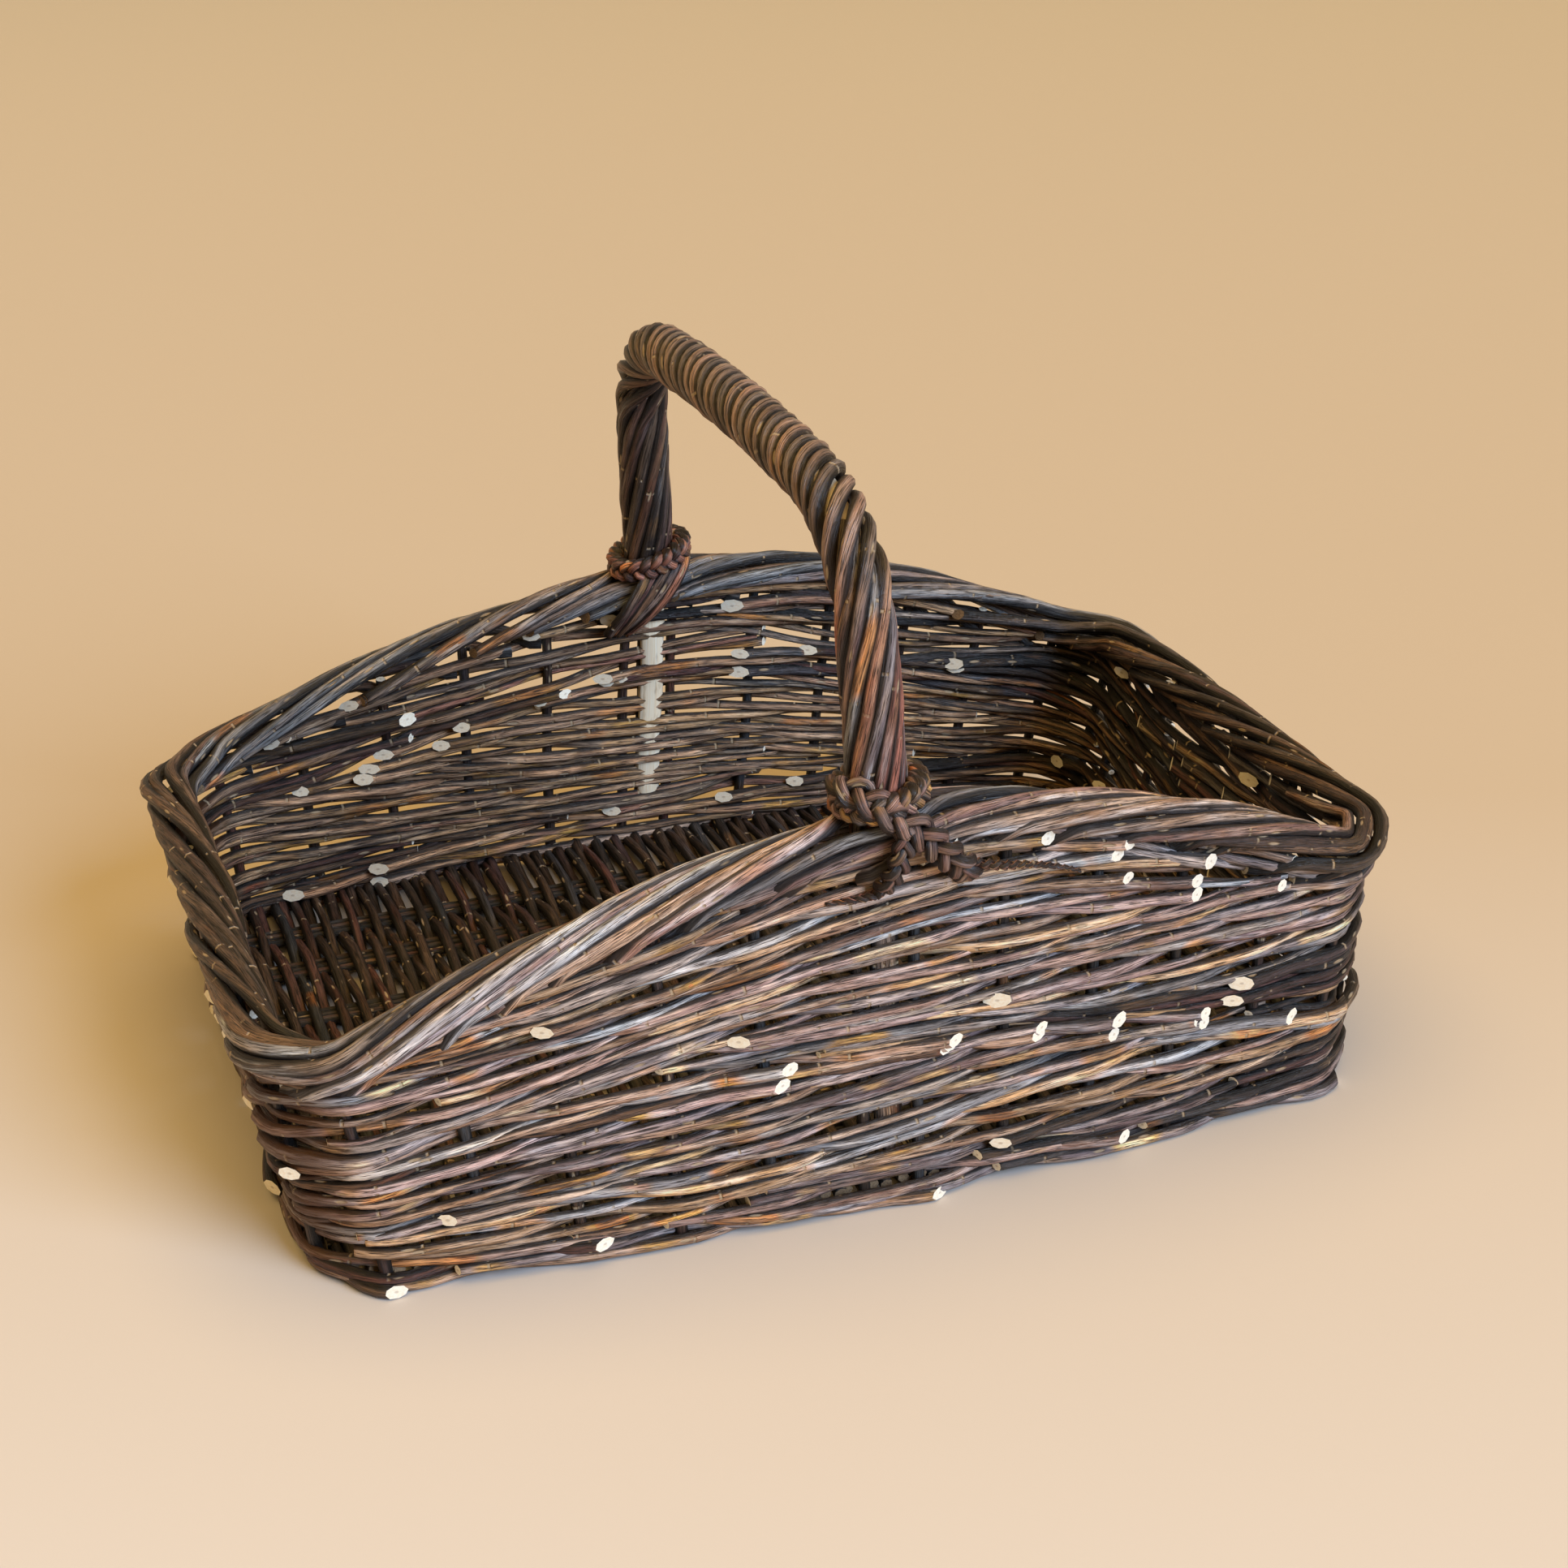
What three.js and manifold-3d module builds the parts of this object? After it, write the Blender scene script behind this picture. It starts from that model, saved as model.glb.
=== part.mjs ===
// A rectangular willow trug: a woven base on lengthwise sticks, four woven walls on upright
// stakes, a thick border that arches up at the middle of both long sides, and a fixed bow
// handle across the middle, roped with rods and tied down over the border.
// Millimetres. +X runs along the long sides, +Y from the near side to the far side, +Z up.
// The origin is at the middle of the underside, on the surface that the basket stands on.
import * as THREE from "three";
import { mergeVertices } from "three/addons/utils/BufferGeometryUtils.js";
import Module from "manifold-3d";

const wasm = await Module();
wasm.setup();

// Driving dimensions of the base and of the walls' lower edge, over the outside
const BASE_LENGTH = 506;
const BASE_WIDTH = 346;
const BASE_BOW = 12;
const BASE_THICKNESS = 12;
const CORNER_CUT = 25;

// The base's weave: crosswise strips, two rods wide, that pass over and under the sticks and
// stop short of the base's ends and sides, where it is full height under the walls
const STRIP_COUNT = 37;
const STRIP_END_SETBACK = 21.75;
const STRIP_SIDE_SETBACK = 23;
const STRIP_HALF_LANDING = 9;
const STRIP_LOW_HEIGHT = 8;

// Driving dimensions of the border, at the middle of its bundle of rods: the ends lean out
// from the base and the long sides lean in over it
const END_LEAN_OUT = 7;
const SIDE_LEAN_IN = 21;
const RIM_LENGTH = BASE_LENGTH + 2 * END_LEAN_OUT;
const RIM_WIDTH = BASE_WIDTH - 2 * SIDE_LEAN_IN;
const RIM_BOW = 5;
const BORDER_WIDTH = 28;
const BORDER_HEIGHT = 25;

// Heights of the border's middle over the ground: the corners, then the top of each arch
const CORNER_HEIGHTS = { near: { left: 102, right: 115 }, far: { left: 103, right: 107 } };
const ARCH_HEIGHTS = { near: 175, far: 164 };
const ARCH_PEAK_X = 25;
const ARCH_POWER = 1.65;

// Driving dimensions of the walls and of the rods in them: the weave is thickest at the stakes,
// where rods pass both outside and inside them, and thinnest half way to the next
const WALL_THICKNESS = 13;
const WALL_THICKNESS_BETWEEN = 8;
const STAKE_BUTT_RADIUS = 3;
const STAKE_TIP_RADIUS = 2.5;
const STAKES_PER_HALF_SIDE = 5;
const STAKES_PER_END = 6;
const BOW_TO_STAKE = 13;
const STAKE_DEPTH_IN_BASE = 8;
const STAKE_DEPTH_IN_BORDER = 12;
const PANEL_WRAP = 14;
const STICK_WIDTH = 12;
const STICK_HEIGHT = 5;
const STICK_END_SETBACK = 4;

// Driving dimensions of the handle: the bow is the bent core, the roping the rods laid round it
const HANDLE_TOP_HEIGHT = 311;
const HANDLE_CROWN = 3;
const HANDLE_DRAW_IN = 12;
const HANDLE_SHOULDER_RADIUS = 55;
const HANDLE_LEAN = -9;
const HANDLE_FAR_DROP = 6;
const ROPING_RADIUS = 13;
const BOW_RADIUS = 7;
const SLYPE_HALF_WIDTH = 6;
const SLYPE_HALF_THICKNESS = 2.6;
const SLYPE_TOE_HALF_THICKNESS = 1.2;
const SLYPE_TOE_HEIGHT = 25;

// Driving dimensions of the ties: a plaited collar round each leg and two bands over the border
const COLLAR_RADIUS = 22;
const COLLAR_HEIGHT = 13;
const COLLAR_BORE_SHARE = 1.02;
const BAND_START = 18;
const BAND_WIDTH = 14;
const BAND_THICKNESS = 5;

// Clearance between pieces that touch
const GAP = 0.3;

// How finely the curves are cut
const SHOULDER_STEPS = 7;
const CROWN_STEPS = 6;
const ROD_SIDES = 6;
const BUNDLE_SIDES = 8;

const SIDE_SIGN = { near: -1, far: 1 };
const END_SIGN = { left: -1, right: 1 };
const UP = new THREE.Vector3(0, 0, 1);

// Middle of the walls' thickness at the ground and under the border, as half sizes
const foot = {
  halfLength: (BASE_LENGTH - WALL_THICKNESS) / 2,
  halfWidth: (BASE_WIDTH - WALL_THICKNESS) / 2,
  bow: BASE_BOW,
};
const rim = { halfLength: RIM_LENGTH / 2, halfWidth: RIM_WIDTH / 2, bow: RIM_BOW };
const rimStraightHalf = rim.halfLength - CORNER_CUT;
const stakeStep = (rimStraightHalf - BOW_TO_STAKE) / STAKES_PER_HALF_SIDE;
const handleTopHalfSpan = rim.halfWidth + rim.bow - HANDLE_DRAW_IN;

// Solids and geometries

function solidOf(geometry) {
  const bare = geometry.clone();
  bare.deleteAttribute("normal");
  bare.deleteAttribute("uv");
  const merged = mergeVertices(bare, 1e-4);
  return new wasm.Manifold(
    new wasm.Mesh({
      numProp: 3,
      vertProperties: new Float32Array(merged.attributes.position.array),
      triVerts: new Uint32Array(merged.index.array),
    }),
  );
}

function geometryOf(solid) {
  const mesh = solid.getMesh();
  const geometry = new THREE.BufferGeometry();
  geometry.setAttribute("position", new THREE.BufferAttribute(mesh.vertProperties, 3));
  geometry.setIndex(new THREE.BufferAttribute(mesh.triVerts, 1));
  geometry.computeVertexNormals();
  return geometry;
}

function cut(solid, voids) {
  return voids.reduce((left, taken) => left.subtract(taken), solid);
}

// A closed body through a row of convex outlines that all have the same number of points
function loft(rings) {
  const sides = rings[0].length;
  const points = rings.flat();
  const index = [];
  for (let r = 0; r + 1 < rings.length; r += 1) {
    for (let i = 0; i < sides; i += 1) {
      const a = r * sides + i;
      const b = r * sides + ((i + 1) % sides);
      index.push(a, b, b + sides, a, b + sides, a + sides);
    }
  }
  const last = (rings.length - 1) * sides;
  for (let i = 1; i + 1 < sides; i += 1) {
    index.push(0, i + 1, i);
    index.push(last, last + i, last + i + 1);
  }
  let volume = 0;
  for (let t = 0; t < index.length; t += 3) {
    const [a, b, c] = [points[index[t]], points[index[t + 1]], points[index[t + 2]]];
    volume += a.dot(new THREE.Vector3().crossVectors(b, c));
  }
  if (volume < 0) index.reverse();
  return new THREE.BufferGeometry().setFromPoints(points).setIndex(index);
}

// An outline of flats round a centre, whose flats lie at the given distances along two axes
function bundleRing(centre, axisA, axisB, reachA, reachB, sides = BUNDLE_SIDES) {
  const toCorner = 1 / Math.cos(Math.PI / sides);
  return Array.from({ length: sides }, (_, i) => {
    const angle = ((i + 0.5) / sides) * 2 * Math.PI;
    return centre
      .clone()
      .addScaledVector(axisA, Math.cos(angle) * reachA * toCorner)
      .addScaledVector(axisB, Math.sin(angle) * reachB * toCorner);
  });
}

// The walls' surface: a station is a straight line from a foot point up to a rim point

function archHeight(side, x) {
  const end = x < ARCH_PEAK_X ? "left" : "right";
  const share = Math.abs((x - ARCH_PEAK_X) / (END_SIGN[end] * rimStraightHalf - ARCH_PEAK_X));
  const corner = CORNER_HEIGHTS[side][end];
  return corner + (ARCH_HEIGHTS[side] - corner) * (1 - Math.min(share, 1) ** ARCH_POWER);
}

// How full the weave is at a place, from 1 at a stake to 0 half way to the next. The bow and the
// stakes on both sides of it are passed as one.
function sideFullness(x) {
  const stakes = Math.max(0, Math.abs(x) - BOW_TO_STAKE) / stakeStep;
  return Math.abs(1 - 2 * (stakes % 1));
}

function endFullness(share) {
  const last = 1 - 1 / STAKES_PER_END;
  if (Math.abs(share) >= last) return 1;
  return Math.abs(1 - 2 * ((((share + last) * STAKES_PER_END) / 2) % 1));
}

// On a long side, at a share from -1 at the left corner to 1 at the right corner
function sideStation(side, share) {
  const at = (plan, z) =>
    new THREE.Vector3(
      share * (plan.halfLength - CORNER_CUT),
      SIDE_SIGN[side] * (plan.halfWidth + plan.bow * (1 - share * share)),
      z,
    );
  const x = share * rimStraightHalf;
  return { foot: at(foot, 0), rim: at(rim, archHeight(side, x)), fullness: sideFullness(x) };
}

// On an end, at a share from -1 at the near corner to 1 at the far corner
function endStation(end, share) {
  const near = CORNER_HEIGHTS.near[end];
  const far = CORNER_HEIGHTS.far[end];
  const at = (plan, z) =>
    new THREE.Vector3(
      END_SIGN[end] * plan.halfLength,
      share * (plan.halfWidth - CORNER_CUT),
      z,
    );
  const height = near + ((far - near) * (share + 1)) / 2;
  return { foot: at(foot, 0), rim: at(rim, height), fullness: endFullness(share) };
}

// The point at height z on a station
function wallPoint(station, z) {
  return station.foot.clone().lerp(station.rim, z / station.rim.z);
}

// Outward offsets in plan at each point of an open run, mitred at its corners
function outwardOffsets(points) {
  const across = points.slice(1).map((p, i) => {
    const along = p.clone().sub(points[i]).setZ(0).normalize();
    return new THREE.Vector3(along.y, -along.x, 0);
  });
  return points.map((_, i) => {
    const before = across[Math.max(i - 1, 0)];
    const after = across[Math.min(i, across.length - 1)];
    const middle = before.clone().add(after).normalize();
    return middle.multiplyScalar(1 / middle.dot(before));
  });
}

// How much a bundle's height grows in an upright cut where its run climbs
function climbFactors(points) {
  return points.map((_, i) => {
    const before = points[Math.max(i - 1, 0)];
    const after = points[Math.min(i + 1, points.length - 1)];
    const run = Math.hypot(after.x - before.x, after.y - before.y);
    return Math.hypot(1, (after.z - before.z) / run);
  });
}

// Stations that run anticlockwise seen from above, so that outward is on the right

const bandStart = BAND_START / rimStraightHalf;
const bandEnd = (BAND_START + BAND_WIDTH) / rimStraightHalf;

// The stakes of half a long side past the bow's own, the places half way to the next, the corner
function sideShares() {
  const stakes = Array.from({ length: STAKES_PER_HALF_SIDE - 1 }, (_, i) => {
    const x = BOW_TO_STAKE + (i + 1) * stakeStep;
    return [x / rimStraightHalf, (x + stakeStep / 2) / rimStraightHalf];
  });
  const half = [bandStart, bandEnd, ...stakes.flat(), 1];
  return [...half.map((share) => -share).reverse(), 0, ...half];
}

const wrapShare = PANEL_WRAP / (rim.halfWidth - CORNER_CUT);
const seamShare = GAP / (rim.halfWidth - CORNER_CUT);

function sideRun(side) {
  const sign = SIDE_SIGN[side];
  const onEnds = sign * (1 - wrapShare);
  const run = [
    endStation("left", onEnds),
    endStation("left", sign),
    ...sideShares().map((share) => sideStation(side, share)),
    endStation("right", sign),
    endStation("right", onEnds),
  ];
  return side === "near" ? run : run.reverse();
}

function endRun(end) {
  const reach = 1 - wrapShare - seamShare;
  const inner = Array.from({ length: 2 * STAKES_PER_END - 1 }, (_, i) => (i + 1) / STAKES_PER_END - 1);
  const run = [-reach, ...inner.filter((share) => Math.abs(share) < reach), reach].map((share) =>
    endStation(end, share),
  );
  return end === "right" ? run : run.reverse();
}

const RUNS = {
  near: sideRun("near"),
  far: sideRun("far"),
  left: endRun("left"),
  right: endRun("right"),
};

// Border and wall weave over one run

function borderRings(run, extra = 0) {
  const centres = run.map((station) => station.rim);
  const outward = outwardOffsets(centres);
  const climb = climbFactors(centres);
  return centres.map((centre, i) =>
    bundleRing(
      centre,
      outward[i],
      UP,
      BORDER_WIDTH / 2 + extra,
      (BORDER_HEIGHT / 2 + extra) * climb[i],
    ),
  );
}

function wallRings(run) {
  const climb = climbFactors(run.map((station) => station.rim));
  const low = run.map((station) => wallPoint(station, BASE_THICKNESS + GAP));
  const high = run.map((station, i) =>
    wallPoint(station, station.rim.z - (BORDER_HEIGHT / 2 + GAP) * climb[i]),
  );
  const outLow = outwardOffsets(low);
  const outHigh = outwardOffsets(high);
  return run.map((station, i) => {
    const swell = (WALL_THICKNESS - WALL_THICKNESS_BETWEEN) * station.fullness;
    const half = (WALL_THICKNESS_BETWEEN + swell) / 2;
    return [
      low[i].clone().addScaledVector(outLow[i], half),
      high[i].clone().addScaledVector(outHigh[i], half),
      high[i].clone().addScaledVector(outHigh[i], -half),
      low[i].clone().addScaledVector(outLow[i], -half),
    ];
  });
}

// Stakes: straight rods on the stations, from a socket in the base to one in the border

function stakeRings(station, extra) {
  const low = wallPoint(station, BASE_THICKNESS - STAKE_DEPTH_IN_BASE - extra);
  const top = station.rim.z - BORDER_HEIGHT / 2 + STAKE_DEPTH_IN_BORDER + extra;
  const high = wallPoint(station, top);
  const alongX = new THREE.Vector3(1, 0, 0);
  const alongY = new THREE.Vector3(0, 1, 0);
  const butt = STAKE_BUTT_RADIUS + extra;
  const tip = STAKE_TIP_RADIUS + extra;
  return [
    bundleRing(low, alongX, alongY, butt, butt, ROD_SIDES),
    bundleRing(high, alongX, alongY, tip, tip, ROD_SIDES),
  ];
}

function stakeStations() {
  const stakes = {};
  const half = Array.from({ length: STAKES_PER_HALF_SIDE }, (_, i) => BOW_TO_STAKE + i * stakeStep);
  const sidePlaces = [...half.map((x) => -x).reverse(), ...half];
  for (const side of ["near", "far"]) {
    sidePlaces.forEach((x, i) => {
      stakes[`${side}_stake_${i + 1}`] = sideStation(side, x / rimStraightHalf);
    });
  }
  for (const end of ["left", "right"]) {
    for (let i = 0; i < STAKES_PER_END; i += 1) {
      stakes[`${end}_stake_${i + 1}`] = endStation(end, (2 * i + 1) / STAKES_PER_END - 1);
    }
  }
  let corner = 0;
  for (const side of ["near", "far"]) {
    for (const end of ["left", "right"]) {
      corner += 1;
      stakes[`corner_stake_${corner}`] = sideStation(side, END_SIGN[end]);
      corner += 1;
      stakes[`corner_stake_${corner}`] = endStation(end, SIDE_SIGN[side]);
    }
  }
  return stakes;
}

// Base: the woven panel out to the walls' outer face, and the sticks that run through it

const stripsHalfLength = BASE_LENGTH / 2 - STRIP_END_SETBACK;
const stripsHalfWidth = BASE_WIDTH / 2 - STRIP_SIDE_SETBACK;

function baseOutline() {
  const points = ["near", "right", "far", "left"].flatMap((name) => {
    const feet = RUNS[name].map((station) => station.foot);
    const outward = outwardOffsets(feet);
    return feet.map((p, i) => p.clone().addScaledVector(outward[i], WALL_THICKNESS / 2));
  });
  return new THREE.Shape(points.map((p) => new THREE.Vector2(p.x, p.y)));
}

function stickPlaces() {
  const step = (2 * (foot.halfWidth - CORNER_CUT)) / STAKES_PER_END;
  const outer = foot.halfWidth - CORNER_CUT - step / 4;
  const inner = Array.from({ length: STAKES_PER_END - 1 }, (_, i) => {
    return (i + 1) * step - (foot.halfWidth - CORNER_CUT);
  });
  return [-outer, ...inner, outer];
}

// A crosswise strip's upright outline, over every second stick and under the others
function stripShape(parity) {
  const top = stickPlaces().flatMap((y, j) => {
    const z = (j + parity) % 2 === 0 ? BASE_THICKNESS : STRIP_LOW_HEIGHT;
    return [
      [y - STRIP_HALF_LANDING, z],
      [y + STRIP_HALF_LANDING, z],
    ];
  });
  const outline = [
    [-BASE_WIDTH, -BASE_THICKNESS],
    [-BASE_WIDTH, BASE_THICKNESS],
    [-stripsHalfWidth, BASE_THICKNESS],
    ...top,
    [stripsHalfWidth, BASE_THICKNESS],
    [BASE_WIDTH, BASE_THICKNESS],
    [BASE_WIDTH, -BASE_THICKNESS],
  ];
  return new THREE.Shape(outline.map(([y, z]) => new THREE.Vector2(y, z)));
}

// The base's rods: the strips side by side, and full height under the end walls
function baseWeaveSolid() {
  const edges = Array.from({ length: STRIP_COUNT + 1 }, (_, i) =>
    Math.fround(((2 * i) / STRIP_COUNT - 1) * stripsHalfLength),
  );
  const slab = (shape, from, to) => {
    const body = new THREE.ExtrudeGeometry(shape, { depth: 1, bevelEnabled: false });
    const alongY = new THREE.Vector3(0, 1, 0);
    const alongX = new THREE.Vector3(to - from, 0, 0);
    const place = new THREE.Matrix4().makeBasis(alongY, UP, alongX).setPosition(from, 0, 0);
    return solidOf(body.applyMatrix4(place));
  };
  const strips = edges.slice(1).map((to, i) => slab(stripShape(i % 2), edges[i], to));
  const block = new THREE.Shape([
    new THREE.Vector2(-BASE_WIDTH, -BASE_THICKNESS),
    new THREE.Vector2(-BASE_WIDTH, BASE_THICKNESS),
    new THREE.Vector2(BASE_WIDTH, BASE_THICKNESS),
    new THREE.Vector2(BASE_WIDTH, -BASE_THICKNESS),
  ]);
  const ends = [slab(block, -BASE_LENGTH, edges[0]), slab(block, edges.at(-1), BASE_LENGTH)];
  const panel = new THREE.ExtrudeGeometry(baseOutline(), {
    depth: 2 * BASE_THICKNESS,
    bevelEnabled: false,
  });
  const rods = [...strips, ...ends].reduce((whole, solid) => whole.add(solid));
  return solidOf(panel).intersect(rods);
}

function stickGeometry(y, extra, halfLength) {
  const box = new THREE.BoxGeometry(
    2 * halfLength,
    STICK_WIDTH + 2 * extra,
    STICK_HEIGHT + 2 * extra,
  );
  return box.translate(0, y, BASE_THICKNESS / 2);
}

// Handle: a bow that runs down inside both long walls, and the roping round it above the border

function legTop(side) {
  const top = HANDLE_TOP_HEIGHT - (side === "far" ? HANDLE_FAR_DROP : 0);
  return new THREE.Vector3(HANDLE_LEAN, SIDE_SIGN[side] * handleTopHalfSpan, top);
}

// The rounded shoulder between a leg and the top, from the leg to the top
function shoulderPoints(side) {
  const corner = legTop(side);
  const legWay = sideStation(side, 0).rim.clone().sub(corner).normalize();
  const topWay = legTop(side === "near" ? "far" : "near").sub(corner).normalize();
  const half = legWay.angleTo(topWay) / 2;
  const reach = HANDLE_SHOULDER_RADIUS / Math.tan(half);
  const arc = new THREE.QuadraticBezierCurve3(
    corner.clone().addScaledVector(legWay, reach),
    corner,
    corner.clone().addScaledVector(topWay, reach),
  );
  const middle = legWay.clone().add(topWay).normalize();
  const centre = corner.clone().addScaledVector(middle, HANDLE_SHOULDER_RADIUS / Math.sin(half));
  return arc.getPoints(SHOULDER_STEPS).map((p) =>
    p.sub(centre).setLength(HANDLE_SHOULDER_RADIUS).add(centre),
  );
}

function handlePath() {
  const near = shoulderPoints("near");
  const far = shoulderPoints("far").reverse();
  const from = near.at(-1);
  const to = far[0];
  const crown = Array.from({ length: CROWN_STEPS - 1 }, (_, i) => {
    const share = (i + 1) / CROWN_STEPS;
    const rise = HANDLE_CROWN * 4 * share * (1 - share);
    return from.clone().lerp(to, share).addScaledVector(UP, rise);
  });
  return [...near, ...crown, ...far];
}

// Where a leg leaves the border's top, with the clearance that the roping keeps to it
function legFoot(side) {
  const station = sideStation(side, 0);
  const highest = Math.max(
    archHeight(side, -ROPING_RADIUS),
    archHeight(side, 0),
    archHeight(side, ROPING_RADIUS),
  );
  const rims = RUNS[side].map((station) => station.rim);
  const underLeg = rims.map((rimPoint) => Math.abs(rimPoint.x) < BAND_START + BAND_WIDTH);
  const climb = Math.max(...climbFactors(rims).filter((_, i) => underLeg[i]));
  const z = highest + (BORDER_HEIGHT / 2) * climb + GAP;
  const way = legTop(side).sub(station.rim);
  return station.rim.clone().addScaledVector(way, (z - station.rim.z) / way.z);
}

function handleRings(centres, reachX, reachAcross, flatEnds) {
  return centres.map((centre, i) => {
    const before = centres[Math.max(i - 1, 0)];
    const after = centres[Math.min(i + 1, centres.length - 1)];
    const way = after.clone().sub(before).normalize();
    const atEnd = i === 0 || i === centres.length - 1;
    const axisX = new THREE.Vector3(1, 0, 0);
    if (!(flatEnds && atEnd)) axisX.addScaledVector(way, -way.x).normalize();
    const axisAcross = new THREE.Vector3().crossVectors(axisX, way).normalize();
    if (flatEnds && atEnd) axisAcross.set(0, Math.sign(axisAcross.y), 0);
    return bundleRing(centre, axisX, axisAcross, reachX[i], reachAcross[i]);
  });
}

function bowRings(extra) {
  const legPoints = (side) => {
    const station = sideStation(side, 0);
    const toe = wallPoint(station, SLYPE_TOE_HEIGHT - extra);
    const throat = wallPoint(station, station.rim.z - BORDER_HEIGHT / 2);
    return [toe, throat, station.rim.clone(), legFoot(side)];
  };
  const near = legPoints("near");
  const far = legPoints("far").reverse();
  const centres = [...near, ...handlePath(), ...far];
  const reachX = centres.map(() => BOW_RADIUS + extra);
  const reachAcross = centres.map(() => BOW_RADIUS + extra);
  const last = centres.length - 1;
  const slype = [
    [SLYPE_HALF_WIDTH, SLYPE_TOE_HALF_THICKNESS],
    [SLYPE_HALF_WIDTH, SLYPE_HALF_THICKNESS],
  ];
  slype.forEach(([wide, thick], i) => {
    for (const place of [i, last - i]) {
      reachX[place] = wide + extra;
      reachAcross[place] = thick + extra;
    }
  });
  return handleRings(centres, reachX, reachAcross, true);
}

function ropingRings() {
  const centres = [legFoot("near"), ...handlePath(), legFoot("far")];
  const reach = centres.map(() => ROPING_RADIUS);
  return handleRings(centres, reach, reach, true);
}

// Ties: a collar round the leg's foot, joined to a band round the border at each side of it

function collarSolid(side) {
  const low = legFoot(side);
  const way = legTop(side).sub(low).normalize();
  const high = low.clone().addScaledVector(way, COLLAR_HEIGHT);
  const alongX = new THREE.Vector3(1, 0, 0);
  const alongY = new THREE.Vector3(0, 1, 0);
  const shell = (reach, from, to) =>
    solidOf(
      loft([from, to].map((centre) => bundleRing(centre, alongX, alongY, reach, reach))),
    );
  const past = way.clone().multiplyScalar(COLLAR_HEIGHT);
  const bore = shell(
    ROPING_RADIUS * COLLAR_BORE_SHARE + GAP,
    low.clone().sub(past),
    high.clone().add(past),
  );
  return shell(COLLAR_RADIUS, low, high).subtract(bore);
}

// The border's own outline, swollen, between a band's two edges
function bandSolid(side, hand, swell, lengthen) {
  const rings = borderRings(RUNS[side], swell);
  const edges = [BAND_START, BAND_START + BAND_WIDTH].map((x, i) => {
    const at = RUNS[side].findIndex((station) => Math.abs(station.rim.x - hand * x) < 1e-6);
    const shift = hand * (i === 0 ? -lengthen : lengthen);
    return rings[at].map((p) => p.clone().setX(p.x + shift));
  });
  return solidOf(loft(edges));
}

function tieSolid(side) {
  const bore = solidOf(loft(borderRings(RUNS[side], GAP)));
  const bands = [-1, 1].map((hand) =>
    bandSolid(side, hand, BAND_THICKNESS + GAP, 0).subtract(bore),
  );
  return bands.reduce((whole, band) => whole.add(band), collarSolid(side));
}

// Materials

function bark(color, roughness = 0.62) {
  return new THREE.MeshStandardMaterial({ color, roughness, metalness: 0 });
}

const MATERIALS = {
  weave: bark(0x4b342b),
  base: bark(0x33241f, 0.7),
  stick: bark(0x6b5648, 0.7),
  stake: bark(0x2b2120),
  border: bark(0x453430, 0.55),
  roping: bark(0x4a2f25, 0.5),
  tie: bark(0x3a2722, 0.55),
  peeled: bark(0xc9ab84, 0.6),
};

function piece(name, geometry, material) {
  const mesh = new THREE.Mesh(geometry, material);
  mesh.name = name;
  return mesh;
}

// Assembly

const stakes = stakeStations();
const stakeVoids = Object.values(stakes).map((station) => solidOf(loft(stakeRings(station, GAP))));
const bowVoid = solidOf(loft(bowRings(GAP)));

function makeBase() {
  const group = new THREE.Group();
  const places = stickPlaces();
  const channels = places.map((y) => solidOf(stickGeometry(y, GAP, BASE_LENGTH)));
  const woven = cut(baseWeaveSolid(), [...channels, ...stakeVoids]);
  group.add(piece("base_weave", geometryOf(woven), MATERIALS.base));
  places.forEach((y, i) => {
    const stick = stickGeometry(y, 0, BASE_LENGTH / 2 - STICK_END_SETBACK);
    group.add(piece(`base_stick_${i + 1}`, stick, MATERIALS.stick));
  });
  return group;
}

function makeWalls() {
  const group = new THREE.Group();
  for (const [name, run] of Object.entries(RUNS)) {
    const voids = [...stakeVoids, bowVoid];
    if (name in SIDE_SIGN) {
      voids.push(...[-1, 1].map((hand) => bandSolid(name, hand, BAND_THICKNESS + 2 * GAP, GAP)));
    }
    const panel = cut(solidOf(loft(wallRings(run))), voids);
    group.add(piece(`${name}_wall_weave`, geometryOf(panel), MATERIALS.weave));
  }
  for (const [name, station] of Object.entries(stakes)) {
    group.add(piece(name, loft(stakeRings(station, 0)), MATERIALS.stake));
  }
  return group;
}

function makeBorder() {
  const group = new THREE.Group();
  for (const [name, run] of Object.entries(RUNS)) {
    const bundle = cut(solidOf(loft(borderRings(run))), [...stakeVoids, bowVoid]);
    group.add(piece(`${name}_border`, geometryOf(bundle), MATERIALS.border));
  }
  return group;
}

function makeHandle() {
  const group = new THREE.Group();
  const roping = solidOf(loft(ropingRings())).subtract(bowVoid);
  group.add(piece("handle_bow", loft(bowRings(0)), MATERIALS.peeled));
  group.add(piece("handle_roping", geometryOf(roping), MATERIALS.roping));
  for (const side of ["near", "far"]) {
    group.add(piece(`${side}_handle_tie`, geometryOf(tieSolid(side)), MATERIALS.tie));
  }
  return group;
}

const trug = new THREE.Group();
trug.add(makeBase(), makeWalls(), makeBorder(), makeHandle());

export default trug;
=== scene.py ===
# A willow trug: every rod of the base, the walls, the border and the handle as real geometry,
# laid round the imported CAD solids. Shapes are worked out in millimetres and made in metres.
import math

import bpy
import numpy as np
from mathutils import Matrix, Vector


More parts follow.
